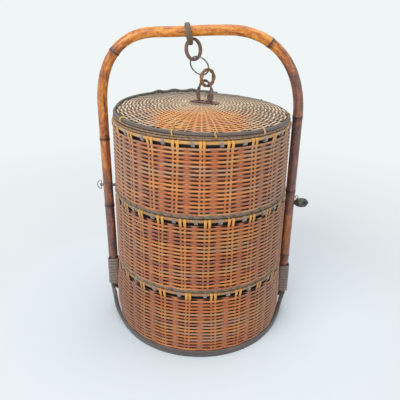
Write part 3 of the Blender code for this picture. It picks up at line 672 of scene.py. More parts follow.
def move(tree, shape, **where):
    """Set the shape's points to a Position, or shift them by an Offset."""
    return add(tree, "GeometryNodeSetPosition", {"Geometry": shape, **where})


def upward_normal(tree, curve):
    """Keep the curve's section upright."""
    return add(tree, "GeometryNodeSetCurveNormal", {"Curve": curve}, mode="Z_UP")


def cane_section(tree, sides, thickness, width):
    """An oval section: thickness outwards, width across."""
    circle = add(tree, "GeometryNodeCurvePrimitiveCircle", {"Resolution": sides, "Radius": 1.0})
    ring = keep(tree, circle, round=add(tree, "GeometryNodeSplineParameter")["Factor"])
    return add(tree, "GeometryNodeTransform", {
        "Geometry": ring, "Scale": combine(tree, thickness / 2.0, width / 2.0, 1.0)})


def weave_tree(name, on_lid=False):
    """Rows of cane woven round stakes: odd and even rows pass them on opposite sides."""
    own = {"edge_radius": 0.1274, "edge_height": 0.36, "rise": 0.0098} if on_lid else {
        "back": weave_back, "flush": weave_flush, "top_radius": seam_radius, "top_height": top_seat,
        "taper": wall_taper, "tuck": 0.0, "hidden_place": 0.5}
    tree, given = start_tree(name, rows=32, columns=19, points=10, first_angle=0.0, start=0.0, pitch=0.0029,
                             front=weave_front, width=0.0027, thickness=0.0021, wander=0.0004, seed=1, **own)
    start, pitch = (combine(tree, *((given[label], 0.0, 0.0) if on_lid else (0.0, 0.0, given[label])))
                    for label in ("Start", "Pitch"))
    line = add(tree, "GeometryNodeMeshLine", {"Count": given["Rows"], "Start Location": start,
                                              "Offset": pitch}, mode="OFFSET")
    x, y, z = add(tree, "ShaderNodeSeparateXYZ", {0: add(tree, "GeometryNodeInputPosition")})
    marked = keep(tree, line, row=add(tree, "GeometryNodeInputIndex"), level=x if on_lid else z)
    if on_lid:
        marked = move(tree, marked, Position=combine(tree, 0.0, 0.0, 0.0))
    circle = add(tree, "GeometryNodeCurvePrimitiveCircle", {
        "Resolution": given["Columns"] * given["Points"], "Radius": 1.0})
    copies = add(tree, "GeometryNodeInstanceOnPoints", {"Points": marked, "Instance": circle})
    rows = add(tree, "GeometryNodeRealizeInstances", {"Geometry": copies})
    angle = x.work("ARCTAN2", y * -1.0)
    sine, cosine = angle.work("SINE"), angle.work("COSINE")
    row, level = recall(tree, "row"), recall(tree, "level")
    turned = (angle - given["First Angle"]) / (full_turn / given["Columns"])
    odd = row.work("MODULO", 2.0)
    wobble = noise(tree, combine(tree, sine * 4.0, cosine * 4.0, row * 3.7), 1.0, dimensions="4D",
                   W=given["Seed"])
    drift = (wobble - 0.5) * given["Wander"]
    if on_lid:
        ring = (row * 0.5).work("FLOOR")
        piece = (turned + ring * 0.5).work("FLOOR")
        wave = (turned * full_turn + odd * math.pi).work("COSINE")
        share = level / given["Edge Radius"]
        dome = given["Rise"] * (1.0 - share * share)
        height = dome + given["Edge Height"] + wave * given["Front"]
        radius = level + drift
        front = wave.ranged(-1.0, 1.0)
    else:
        ring = row
        piece = (angle * 2.1 + row * 0.37).work("FLOOR")
        onward = (turned + 40.0).work("FRACT")
        before = onward / given["Hidden Place"]
        bend = before.work("MINIMUM", (1.0 - onward) / (1.0 - given["Hidden Place"]))
        rows = keep(tree, rows, bend=bend)
        over = bend.ranged(0.20, 1.00, given["Front"], given["Flush"], "SMOOTHSTEP")
        under = bend.ranged(0.55, 1.04, given["Back"], given["Flush"], "SMOOTHSTEP")
        depth = over * (1.0 - odd) + under * odd
        belly = given["Top Height"] - level.work("MAXIMUM", taper_end)
        radius = depth + (given["Top Radius"] + belly * given["Taper"])
        radius = radius - level.ranged(taper_end, weave_foot, 0.0, given["Tuck"])
        height = level + drift
        front = depth.ranged(given["Back"], given["Flush"])
    rows = keep(tree, rows, front=front, tone=chance(tree, piece, ring, given["Seed"]))
    woven = move(tree, rows, Position=combine(tree, sine * radius, cosine * (radius * -1.0), height))
    woven = keep(tree, woven, along=add(tree, "GeometryNodeSplineParameter")["Length"])
    across = ("Width", "Thickness") if on_lid else ("Thickness", "Width")
    tube = add(tree, "GeometryNodeCurveToMesh", {
        "Curve": upward_normal(tree, woven),
        "Profile Curve": cane_section(tree, 8, given[across[0]], given[across[1]])})
    return finish_tree(tree, given, tube)


def strand_tree(name, upright=False):
    """Strands of cane that run, or twist round each other, along a path."""
    tree, given = start_tree(name, strands=1, turns=0.0, spread=0.0, width=0.004, thickness=0.004, sides=8,
                             uneven=0.0, seed=1)
    curve = add(tree, "GeometryNodeMeshToCurve", {"Mesh": given["Geometry"]})
    if upright:
        curve = upward_normal(tree, curve)
    normal = add(tree, "GeometryNodeInputNormal")
    across = add(tree, "ShaderNodeVectorMath", {0: add(tree, "GeometryNodeInputTangent"), 1: normal},
                 operation="CROSS_PRODUCT")
    copies = add(tree, "GeometryNodeDuplicateElements", {"Geometry": curve, "Amount": given["Strands"]},
                 domain="SPLINE")
    which = copies["Duplicate Index"]
    spline = add(tree, "GeometryNodeSplineParameter")
    length = spline["Length"]
    turn = (spline["Factor"] * given["Turns"] + which / given["Strands"]) * full_turn
    out, aside = (add(tree, "ShaderNodeVectorMath", {0: way, "Scale": given["Spread"] * turn.work(wave)},
                      operation="SCALE") for way, wave in ((normal, "COSINE"), (across, "SINE")))
    shift = add(tree, "ShaderNodeVectorMath", {0: out, 1: aside}, operation="ADD")
    change = noise(tree, combine(tree, length * 70.0, given["Seed"], which), 1.0, 1.0)
    tone = (change + 0.9 + which / given["Strands"]).work("FRACT")
    spread = keep(tree, move(tree, copies, Offset=shift), along=length, tone=tone, front=1.0)
    lumps = noise(tree, combine(tree, length * 160.0, which, given["Seed"]), 1.0)
    swell = recall(tree, "swell") + 1.0 + (lumps - 0.5) * given["Uneven"]
    tube = add(tree, "GeometryNodeCurveToMesh", {
        "Curve": spread, "Scale": swell, "Fill Caps": True,
        "Profile Curve": cane_section(tree, given["Sides"], given["Thickness"], given["Width"])})
    return finish_tree(tree, given, tube)


def repeat_tree(name):
    """One shape repeated round the basket's axis, each copy with its own tone and small turn."""
    tree, given = start_tree(name, count=19, first_angle=0.0, scatter=0.0, lean=0.0, lean_height=0.0, seed=1)
    line = add(tree, "GeometryNodeMeshLine", {"Count": given["Count"], "Offset": (0.0, 0.0, 0.0)},
               mode="OFFSET")
    index = add(tree, "GeometryNodeInputIndex")
    jitter = chance(tree, index, given["Seed"], 0.5)
    angle = index * full_turn / given["Count"] + given["First Angle"] + (jitter - 0.5) * given["Scatter"]
    slant = (chance(tree, index, given["Seed"], 7.5) - 0.5) * given["Lean"]
    copies = add(tree, "GeometryNodeInstanceOnPoints", {
        "Points": keep(tree, line, tone=jitter, slant=slant * 2.0), "Instance": given["Geometry"],
        "Rotation": combine(tree, 0.0, 0.0, angle)})
    real = add(tree, "GeometryNodeRealizeInstances", {"Geometry": copies})
    spot = add(tree, "GeometryNodeInputPosition")
    height = add(tree, "ShaderNodeSeparateXYZ", {0: spot})["Z"]
    turn = (height - given["Lean Height"]) * 8.0 * recall(tree, "slant")
    swung = add(tree, "ShaderNodeVectorRotate", {"Vector": spot, "Angle": turn}, rotation_type="Z_AXIS")
    return finish_tree(tree, given, move(tree, real, Position=swung))


# Pieces


def settled_mesh(thing):
    """What a thing's modifiers make of it, as a plain mesh."""
    depsgraph = bpy.context.evaluated_depsgraph_get()
    return bpy.data.meshes.new_from_object(thing.evaluated_get(depsgraph), preserve_all_data_layers=True,
                                           depsgraph=depsgraph)


def grow(name, tree, finish, base=None, **sizes):
    """Run a geometry tree once and keep the result as a plain mesh."""
    seedling = add_object(name + "_seedling", base or bpy.data.meshes.new(name + "_seedling"))
    modifier = seedling.modifiers.new("grow", "NODES")
    modifier.node_group = tree
    values = {**titled(sizes), "Finish": finish}
    for socket in tree.interface.items_tree:
        if socket.in_out == "INPUT" and socket.name in values:
            modifier[socket.identifier] = values[socket.name]
    mesh = settled_mesh(seedling)
    mesh.name = name
    bpy.data.objects.remove(seedling)
    return add_object(name, mesh)


def grow_round(name, shape, finish, **sizes):
    """Repeat a shape round the axis, and drop the shape itself."""
    piece = grow(name, round_the_axis, finish, shape.data, **sizes)
    bpy.data.objects.remove(shape)
    return piece


def path_mesh(points, closed=False, **values):
    """A line of points for a tree to follow, with values kept on it."""
    mesh = bpy.data.meshes.new("path")
    edges = [(index, index + 1) for index in range(len(points) - 1)]
    if closed:
        edges.append((len(points) - 1, 0))
    mesh.from_pydata([tuple(point) for point in points], edges, [])
    for label, numbers in values.items():
        mesh.attributes.new(label, "FLOAT", "POINT").data.foreach_set("value", numbers)
    return mesh


def ring_path(radius, height, count):
    """A level ring for a tree to follow."""
    return path_mesh([polar(radius, angle, height) for angle in round_angles(count)], closed=True)


def skin(name, rings, finish, closed=False, fronts=None):
    """Join rings of points into a closed piece, with along and round values for the fibres."""
    bm = bmesh.new()
    along, round_it, front = (bm.verts.layers.float.new(label) for label in ("along", "round", "front"))
    loops = []
    travelled = 0.0
    last = None
    for place, ring in enumerate(rings):
        centre = sum(ring, Vector()) / len(ring)
        travelled += (centre - last).length if last else 0.0
        last = centre
        loops.append([bm.verts.new(point) for point in ring])
        for index, vert in enumerate(loops[-1]):
            vert[along] = travelled
            vert[round_it] = index / len(ring)
            vert[front] = fronts[place] if fronts else 1.0
    for here, there in zip(loops, loops[1:] + loops[:1] if closed else loops[1:]):
        for corner in range(len(here)):
            after = (corner + 1) % len(here)
            bm.faces.new((here[corner], here[after], there[after], there[corner]))
    if not closed:
        bm.faces.new(loops[0])
        bm.faces.new(loops[-1])
    bmesh.ops.recalc_face_normals(bm, faces=bm.faces)
    mesh = mesh_of(name, bm)
    mesh.shade_smooth()
    mesh.set_sharp_from_angle(angle=math.radians(40))
    mesh.materials.append(finish)
    return add_object(name, mesh)


def cut(piece, *cutters):
    """Cut holes and drop the cutters."""
    for cutter in cutters:
        modifier = piece.modifiers.new("cut", "BOOLEAN")
        modifier.operation = "DIFFERENCE"
        modifier.solver = "EXACT"
        modifier.object = cutter
    mesh = settled_mesh(piece)
    piece.modifiers.clear()
    piece.data = mesh
    for cutter in cutters:
        bpy.data.objects.remove(cutter)


def box_cutter(place, size, turn):
    """A box that cuts a slot."""
    bm = bmesh.new()
    bmesh.ops.create_cube(bm, size=1.0)
    bm.transform(Matrix.Translation(place) @ Matrix.Rotation(turn, 4, "Z") @ Matrix.Diagonal((*size, 1.0)))
    return add_object("cutter", mesh_of("cutter", bm))


def round_cutter(radius, length, place, turn=Matrix.Identity(4)):
    """A round bar that cuts a bore."""
    bm = bmesh.new()
    bmesh.ops.create_cone(bm, cap_ends=True, segments=32, radius1=radius, radius2=radius, depth=length)
    bm.transform(Matrix.Translation(place) @ turn)
    return add_object("cutter", mesh_of("cutter", bm))


def settle(piece, body, slot, *nodes):
    """Say which body carries a piece, what it stands for and its record finish."""
    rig.ride(piece, body)
    if nodes:
        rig.replaces(piece, *nodes)
    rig.slot(piece, slot)


def join(name, pieces):
    """Make one piece of several."""
    bm = bmesh.new()
    materials = []
    for piece in pieces:
        materials += [material for material in piece.data.materials if material not in materials]
        lookup = [materials.index(material) for material in piece.data.materials]
        before = len(bm.faces)
        bm.from_mesh(piece.data)
        bm.faces.ensure_lookup_table()
        for face in bm.faces[before:]:
            face.material_index = lookup[face.material_index]
    mesh = mesh_of(name, bm)
    for material in materials:
        mesh.materials.append(material)
    for piece in pieces:
        bpy.data.objects.remove(piece)
    return add_object(name, mesh)


wall_weave = weave_tree("wall_weave")
lid_weave = weave_tree("lid_weave", on_lid=True)
twisted_strands = strand_tree("twisted_strands")
upright_strands = strand_tree("upright_strands", upright=True)
round_the_axis = repeat_tree("round_the_axis")


# Handle


def pole_side(foot_x, end, post_x, shoulder, crown_x, crown, lift, reach):
    """The knots of one side of the handle: up from its foot, then over its shoulder to the crown."""
    bow = 0.2700
    return (((foot_x, end), (foot_x, bow / 2), (post_x, bow), (post_x, shoulder)),
            ((post_x, shoulder), (post_x, shoulder + reach * (crown - shoulder)),
             (crown_x - reach * (crown_x - post_x), crown - lift), (crown_x, crown)))


def pole_line():
    """The handle's centre line, from the left foot over the arch to the right foot."""
    left_x, left_crown = -0.0660, 0.4753
    right_x, right_crown = 0.0400, 0.4797
    run = (right_x - left_x) / 3
    slope = (right_crown - left_crown) / 6
    left = pole_side(left_foot_x, left_pole_end, left_post_x, 0.3660, left_x, left_crown, slope, 0.64)
    right = pole_side(right_foot_x, right_pole_end, right_post_x, 0.3550, right_x, right_crown, 0.0, 0.60)
    crown = ((left_x, left_crown), (left_x + run, left_crown + slope), (right_x - run, right_crown),
             (right_x, right_crown))
    points = []
    for span in (*left, crown, right[1][::-1], right[0][::-1]):
        knots = [Vector((x, 0, z)) for x, z in span]
        points += geometry.interpolate_bezier(*knots, 160)[(1 if points else 0):]
    return points


def even_line(points, step):
    """The same line with points at even steps."""
    lengths = [0.0]
    for here, there in zip(points, points[1:]):
        lengths.append(lengths[-1] + (there - here).length)
    count = round(lengths[-1] / step)
    line = []
    segment = 0
    for index in range(count + 1):
        distance = lengths[-1] * index / count
        while segment < len(points) - 2 and lengths[segment + 1] < distance:
            segment += 1
        span = lengths[segment + 1] - lengths[segment]
        line.append(points[segment].lerp(points[segment + 1], (distance - lengths[segment]) / span))
    return line


def hump(distance, width):
    """One in the middle, falling away with distance."""
    return math.exp(-(distance / width) ** 2)


def knuckle_swell(offset):
    """How far a knuckle stands out, and how dark it is, at a distance from its middle in metres."""
    ridge = max(hump(offset + 0.0014, 0.0013), 0.7 * hump(offset - 0.0018, 0.0010))
    return ridge, max(hump(offset, 0.0026), 0.55 * hump(offset - 0.004, 0.004))


def pole_shade(x, z):
    """How far the pole is greyed by shade, on each side and low down."""
    right = clamp((x - 0.105) / 0.03) * (0.42 + 0.32 * soft_step((z - 0.17) / 0.05))
    left = clamp((-0.105 - x) / 0.03) * (0.22 + 0.6 * soft_step((0.33 - z) / 0.18))
    return max(right, left)


def make_pole():
    """The bent bamboo pole with knuckles, scarfed feet and pin bores."""
    step = 0.0014
    line = even_line(pole_line(), step)
    length = step * (len(line) - 1)
    found = []
    for index in range(len(line)):
        distance = length * index / (len(line) - 1)
        near = [knuckle_swell(distance - length * share) for share in knuckle_shares]
        found.append([max(values) for values in zip(*near)])
    base = path_mesh(line, swell=[0.11 * ridge for ridge, _ in found], knuckle=[dark for _, dark in found],
                     shade=[pole_shade(point.x, point.z) for point in line])
    pole = grow("bamboo_handle", twisted_strands, varnished_bamboo, base, width=2 * pole_radius,
                thickness=2 * pole_radius, sides=36, uneven=0.03, seed=4)
    for vert in pole.data.vertices:
        side, foot_x, end = ((1, right_foot_x, right_pole_end) if vert.co.x > 0
                             else (-1, left_foot_x, left_pole_end))
        flat = foot_x + side * scarf_offset
        if vert.co.z < end + scarf_length and side * (vert.co.x - flat) > 0:
            vert.co.x = flat
    along_x = Matrix.Rotation(math.pi / 2, 4, "Y")
    cut(pole, round_cutter(0.0025, 0.026, (left_post_x + 0.0004, 0, left_pin_height), along_x),
        round_cutter(0.0028, 0.026, (right_post_x - 0.0003, 0, right_pin_height), along_x))
    settle(pole, "frame", "bamboo_pole", "handle_pole")


# Where the straps leave the foot hoop: degrees from the front, outer radius, height and width
left_strap_rise = (
    (54, 0.1396, 0.0062, 0.0098), (61, 0.1412, 0.0076, 0.0086), (67, 0.1440, 0.0118, 0.0070),
    (73, 0.1470, 0.0160, 0.0062), (79, 0.1498, 0.0208, 0.0058), (84, 0.1520, 0.0265, 0.0055),
    (87, 0.1543, 0.0345, 0.0054))
right_strap_rise = (
    (54, 0.1393, 0.0060, 0.0104), (61, 0.1402, 0.0064, 0.0102), (67, 0.1416, 0.0074, 0.0088),
    (72, 0.1437, 0.0112, 0.0072), (77, 0.1456, 0.0142, 0.0064), (82, 0.1474, 0.0172, 0.0059),
    (86, 0.1503, 0.0215, 0.0056), (88, 0.1530, 0.0285, 0.0054))


def strap_side(foot_x, side, end, rise):
    """Half of a strap, from its top at a foot down and round to the front: each station's place, outward
    way, thickness and width."""
    foot_line = foot_x + side * (scarf_offset + seat_gap + strap_thickness / 2)
    stations = [(Vector((foot_line, strap_forward, height)), Vector((side, 0, 0)), strap_thickness,
                 strap_foot_width) for height in (end + 0.0520, end + 0.0290, end + 0.00535, end - 0.0040)]
    for degrees, outer, height, width in reversed(rise):
        thick = (strap_hoop_thickness + 0.0010 * (degrees - 44) / 46
                 + 0.0030 * soft_step((degrees - 62) / 18))
        angle = side * math.radians(degrees)
        stations.append((polar(outer - thick / 2, angle, height), polar(1.0, angle, 0.0), thick, width))
    for degrees in (44, 33, 22, 11, 0):
        angle = side * math.radians(degrees)
        stations.append((polar(strap_hoop_radius, angle, strap_hoop_height), polar(1.0, angle, 0.0),
                         strap_hoop_thickness, strap_hoop_width))
    return stations


def softened(numbers, steps):
    """Numbers between the given ones, on a smooth curve through them."""
    result = []
    padded = [numbers[0], *numbers, numbers[-1]]
    for before, here, there, after in zip(padded, padded[1:], padded[2:], padded[3:]):
        for step in range(steps):
            t = step / steps
            square = (2 * before - 5 * here + 4 * there - after) * t * t
            cube = (3 * here - before - 3 * there + after) * t ** 3
            result.append(0.5 * (2 * here + (there - before) * t + square + cube))
    return result + [numbers[-1]]


def make_straps():
    """The bent straps in front and behind: up one foot, round the foot hoop and up the other."""
    left = strap_side(left_foot_x, -1, left_pole_end, left_strap_rise)
    right = strap_side(right_foot_x, 1, right_pole_end, right_strap_rise)
    numbers = [(*place, *outward, thick, width) for place, outward, thick, width in left + right[-2::-1]]
    even = list(zip(*[softened(column, 6) for column in zip(*numbers)]))
    for name, node, back in (("front_strap", "base_strap", 1), ("rear_strap", "back_strap", -1)):
        rings = []
        for index, (x, y, z, out_x, out_y, out_z, thick, width) in enumerate(even):
            before = Vector(even[max(index - 1, 0)][:3])
            after = Vector(even[min(index + 1, len(even) - 1)][:3])
            outward = Vector((out_x, out_y, out_z)).normalized()
            across = (after - before).normalized().cross(outward).normalized()
            ring = []
            for corner in range(16):
                angle = (corner + 0.5) * math.pi / 8
                point = (Vector((x, y, z)) + across * squared_off(math.cos(angle), 0.4) * width * 0.495
                         + outward * squared_off(math.sin(angle), 0.5) * thick * 0.49)
                ring.append(Vector((point.x, point.y * back, point.z)))
            rings.append(ring)
        settle(skin(name, rings, base_band), "frame", "split_bamboo", node)


def lashing_line(foot_x, side, start):
    """Middle line of the winding round a foot and the straps' ends."""
    points_per_turn = 48
    tail_length = 0.0044
    clearance = seat_gap + 0.0011
    half_y = pole_radius + clearance
    depth = half_y + scarf_offset + seat_gap + strap_thickness + clearance + 0.0004
    corner = (1 - (0.0055 / half_y) ** 4) ** 0.25
    half_x = depth / (1 + corner)
    middle = foot_x + side * (half_x - half_y)
    line = []
    for index in range(lashing_turns * points_per_turn + 1):
        turn = index / points_per_turn
        x, y = (squared_off(wave(full_turn * turn), 0.5) for wave in (math.cos, math.sin))
        line.append(Vector((middle + half_x * x, half_y * y, start + lashing_pitch * turn)))
    head = (line[0] - line[1]).normalized() * tail_length
    tail = (line[-1] - line[-2]).normalized() * tail_length
    return [line[0] + head] + line + [line[-1] + tail]


def make_lashing(name, node, foot_x, side, end, seed):
    """One flat cane wound up the foot."""
    base = path_mesh(lashing_line(foot_x, side, end + 0.0025))
    lashing = grow(name, upright_strands, lashing_cane, base, width=0.0054, thickness=0.0023, sides=10,
                   uneven=0.5, seed=seed)
    settle(lashing, "frame", "dark_cane", node)


# Woven tiers


def fill_out(piece):
    """The bottom tier is full in its middle at both sides, and more so on the left."""
    for vert in piece.data.vertices:
        x, y, z = vert.co
        radius = math.hypot(x, y)
        aside = x / radius
        below, above = soft_step((z - weave_foot) / 0.0325), soft_step((0.104 - z) / 0.044)
        full = wall_fullness * below * above
        grown = 1 + full * aside * aside * (1 - 0.35 * aside) / radius
        vert.co = (x * grown, y * grown, z)


def stake_shape(low, weave_top, seat, shift, finish, depth, loop=True):
    """One stake at the front: up the wall and, with a loop, over the rim's opening and round the rod.
    A station is its distance outwards, height, half thickness, half width and front value."""
    foot = low + 0.004
    heights = [low - 0.0008, foot] + [foot + (weave_top - 0.001 - foot) * step / 12 for step in range(1, 12)]
    stations = [(-depth, height, 0.00125, 0.00175, 1.0) for height in heights]
    if loop:
        stations[-2:] = [(*station[:4], front) for station, front in zip(stations[-2:], (1.1, 1.3))]
        stations += [
            (-0.0010, weave_top, 0.00120, 0.00195, 1.6), (0.0, weave_top + 0.0022, 0.00100, 0.00205, 2.0),
            (0.0006, seat - 0.0042, 0.00075, 0.00205, 2.0), (0.0006, seat - 0.0024, 0.00070, 0.00205, 2.0),
            (-0.0001, seat - 0.0008, 0.00065, 0.00200, 2.0), (-0.0016, seat - 0.0002, 0.00060, 0.00190, 2.0),
            (-0.0032, seat - 0.0006, 0.00055, 0.00175, 2.0), (-0.0046, seat - 0.0024, 0.00045, 0.00150, 2.0)]
    else:
        stations.append((-depth, weave_top - 0.0005, 0.00110, 0.00190, 1.0))
    places = [(weave_radius(height) + offset - (foot_tuck if height < 0.030 else 0.0), height)
              for offset, height, *_ in stations]
    turn = Matrix.Rotation(shift, 4, "Z")
    aside = Vector((1, 0, 0))
    rings = []
    for index, (radius, height) in enumerate(places):
        before = places[max(index - 1, 0)]
        after = places[min(index + 1, len(places) - 1)]
        along = Vector((0, -(after[0] - before[0]), after[1] - before[1])).normalized()
        out = aside.cross(along)
        half_out, half_side = stations[index][2:4]
        rings.append([turn @ (Vector((0, -radius, height)) + half_out * math.cos(angle) * out
                              + half_side * math.sin(angle) * aside) for angle in round_angles(8)])
    return skin("stake", rings, finish, fronts=[station[4] for station in stations])


def make_wall(name, body, low, seat, rows, stakes, seed):
    """A woven wall: rows of cane, the stake pairs that show, and the hidden stakes between."""
    count, first_angle, hidden_place = stakes
    weave_top = seat - 2 * rod_radius - rim_opening + weave_overlap
    pitch = (weave_top - low) / rows
    slim = top_slimness if name == "top" else 0.0
    weave = grow(name + "_weave", wall_weave, woven_cane, rows=rows, columns=count, points=12,
                 first_angle=first_angle, start=low + pitch / 2, pitch=pitch, width=1.12 * pitch,
                 wander=0.0008, seed=seed, hidden_place=hidden_place, top_radius=seam_radius - slim,
                 back=slim + weave_back, thickness=0.0029 - slim / 3,
                 tuck=foot_tuck if name == "bottom" else 0.0)
    pieces = [weave]
    for side, way, depth, lean_seed in (("left", -1, 0.0023, 0), ("right", 1, 0.0016, 4)):
        stake = stake_shape(low, weave_top, seat, way * stake_shift, gold_stakes, depth - slim / 2)
        pieces.append(grow_round(name + "_" + side + "_stakes", stake, gold_stakes, count=count,
                                 first_angle=first_angle, scatter=0.007, lean=0.026,
                                 lean_height=(low + 2 * seat) / 3, seed=seed + lean_seed))
    inner = stake_shape(low, weave_top, seat, 0.0, hidden_stakes, 0.0032 - slim, loop=False)
    pieces.append(grow_round(name + "_hidden_stakes", inner, hidden_stakes, count=count, seed=seed + 7,
                             first_angle=first_angle + hidden_place * full_turn / count))
    for piece in pieces:
        if name == "bottom":
            fill_out(piece)
        settle(piece, body, "woven_cane", name + "_wall")


def make_rim(name, body, seat, stakes, seed):
    """The tan rim rod and the pale bindings between the stake pairs."""
    count, first_angle, _ = stakes
    middle = wall_radius(seat) - 0.0025
    binding_height = seat - 0.0042
    rod = grow(name + "_rod", upright_strands, tan_rod if name == "top" else brown_rod,
               ring_path(middle, seat - 0.0028, 228), width=0.0049, thickness=0.0049, sides=12, uneven=0.20,
               seed=seed)
    settle(rod, body, "rim_rod", name + "_rim_rod")
    line = [(along * 0.0050, -middle - 0.0029 * cosine, binding_height + 0.0040 * sine)
            for along, cosine, sine in coil(4)]
    wrap = grow("wrap", twisted_strands, pale_binding, path_mesh(line), width=0.0015, thickness=0.0008,
                sides=6)
    wraps = grow_round(name + "_rim_bindings", wrap, pale_binding, count=count, scatter=0.06, lean=0.1,
                       first_angle=first_angle + 0.58 * full_turn / count, lean_height=binding_height,
                       seed=seed + 3)
    settle(wraps, body, "rim_rod", name + "_rim_rod")


def lowered(piece, lean):
    """Let a piece hang a little lower on the right."""
    for vert in piece.data.vertices:
        vert.co.z -= lean * vert.co.x
    return piece


def make_rope(name, body, node, radius, height, finish, lean=0.0, **sizes):
    """A rope of three twisted strands round the basket."""
    rope = grow(name, upright_strands, finish, ring_path(radius, height, rope_points), strands=3, sides=7,
                uneven=0.3, **sizes)
    settle(lowered(rope, lean), body, "dark_cane", node)


def make_base_hoop():
    """The dark bamboo band round the foot, inside the straps."""
    section = ((0.1325, 0.0), (0.1339, 0.0), (0.1344, 0.0004), (0.13445, 0.0030), (0.1345, 0.0062),
               (0.13445, 0.0096), (0.1342, 0.0112), (0.1336, 0.0121), (0.1325, 0.0122))
    rings = []
    for angle in round_angles(228):
        ripple = 0.00006 * math.sin(5 * angle) + 0.00004 * math.sin(13 * angle)
        rings.append([polar(radius + (ripple if radius > 0.133 else 0.0), angle, height)
                      for radius, height in section])
    settle(skin("foot_band", rings, base_band, closed=True), "frame", "dark_cane", "base_hoop")


def dress(node, finish):
    """Give a solid that keeps its shape a finer finish."""
    for slot in frame["nodes"][node].material_slots:
        slot.material = finish


def make_tiers():
    """The three woven tiers, their ropes, rims, floors and collars."""
    make_base_hoop()
    for name, body, low, seat, rows, stakes, seed in (
            ("bottom", "frame", weave_foot, bottom_seat, 32, (22, math.radians(9.8), 0.50), 11),
            ("middle", "middle_tier", 0.1234, middle_seat, 36, (25, math.radians(4.5), 0.47), 23),
            ("top", "top_tier", 0.2447, top_seat, 33, (23, math.radians(0.9), 0.43), 37)):
        make_wall(name, body, low, seat, rows, stakes, seed)
        make_rim(name, body, seat, stakes, seed + 50)
        # The collars take a near-black finish: painted shade.
        dress(name + "_collar", inner_bamboo_in_shade)
        dress(name + "_floor", floor_bamboo)
    for name, body, low, seed in (("middle", "middle_tier", 0.1181, 5), ("top", "top_tier", 0.2394, 6)):
        dress(name + "_floor_battens", floor_bamboo)
        make_rope(name + "_foot_rope", body, name + "_foot_border", wall_radius(low) - 0.0021, low + 0.0036,
                  grey_rope, spread=0.00145, width=0.0035, thickness=0.0035, turns=58.0, seed=seed)


# Lid


def settle_lid(piece, slot, *nodes):
    """Lean a piece of the lid, which sits lower on the right, and settle it."""
    settle(lowered(piece, lid_lean), "lid", slot, *nodes)


def lid_height(radius):
    """Height of the lid's woven top."""
    share = radius / lid_edge_radius
    return lid_edge_top + lid_rise * (1 - share * share)


def hoop_share(angle):
    """How full the rim hoop is: fullest in front and thinnest behind."""
    return 0.52 + 0.26 * soft_step((0.2 + math.cos(angle)) / 1.1)


def hoop_sink(share):
    """How much lower the hoop lies where it is thin."""
    return 0.0012 * (1 - share)


def make_lid_hoop():
    """The rim hoop's canes, its bindings and their tails."""
    canes = []
    # The two lower canes take the darker hoop finish, painted shade below the smoked upper canes.
    for out, up, thick, finish in (
            (0.0015, 0.0017, 0.0019, smoked_cane), (0.0019, -0.0013, 0.0021, hoop_cane),
            (-0.0014, -0.0012, 0.0021, hoop_cane), (-0.0012, 0.0016, 0.0019, smoked_cane),
            # The thin outer cane in the skirt rope's finish is a pale line painted as a highlight along the hoop.
            (0.0034, 0.0004, 0.0010, skirt_rope)):
        rings = []
        for angle in round_angles(240):
            share = hoop_share(angle)
            size = thick * share * (1 + 0.05 * math.sin(5 * angle + 900 * up) + 0.03 * math.sin(17 * angle))
            radius = lid_hoop_radius - 0.0002 + out * share
            height = lid_hoop_height + up * share - hoop_sink(share)
            rings.append([polar(radius + size * math.cos(corner), angle, height + size * math.sin(corner))
                          for corner in round_angles(10)])
        canes.append(skin("hoop_cane", rings, finish, closed=True))
    settle_lid(join("lid_rim_hoop_canes", canes), "dark_cane", "lid_rim_hoop")
    bindings = []
    for place, wide, finish in (
            (-57, 0.0030, gold_binding), (-16.4, 0.0036, gold_binding), (7.9, 0.0046, gold_binding),
            (38.9, 0.0040, gold_pink_binding), (88, 0.0026, gold_binding), (131, 0.0026, gold_binding),
            (232, 0.0026, gold_binding), (262, 0.0026, gold_binding)):
        middle = math.radians(place)
        share = hoop_share(middle)
        reach = 0.0046 * share + 0.0004
        line = [polar(lid_hoop_radius + reach * cosine, middle + along * 0.45 * wide / lid_hoop_radius,
                      lid_hoop_height + reach * sine - hoop_sink(share)) for along, cosine, sine in coil(2)]
        bindings.append(grow("binding", twisted_strands, finish, path_mesh(line), width=wide * 0.64,
                             thickness=0.0009, sides=8, seed=int(place) + 90))
    for tail in (
            ((-15.6, 0.1296, 0.3664), (-14.6, 0.1272, 0.3660), (-13.4, 0.1258, 0.3655),
             (-12.0, 0.1250, 0.3652)),
            ((7.2, 0.1300, 0.3666), (6.9, 0.1268, 0.3660), (6.4, 0.1228, 0.3656), (6.0, 0.1196, 0.3658))):
        line = [polar(radius, math.radians(place), height) for place, radius, height in tail]
        bindings.append(grow("tail", twisted_strands, gold_binding, path_mesh(line), width=0.0020,
                             thickness=0.0009))
    settle_lid(join("lid_hoop_bindings", bindings), "rim_rod", "lid_rim_hoop")


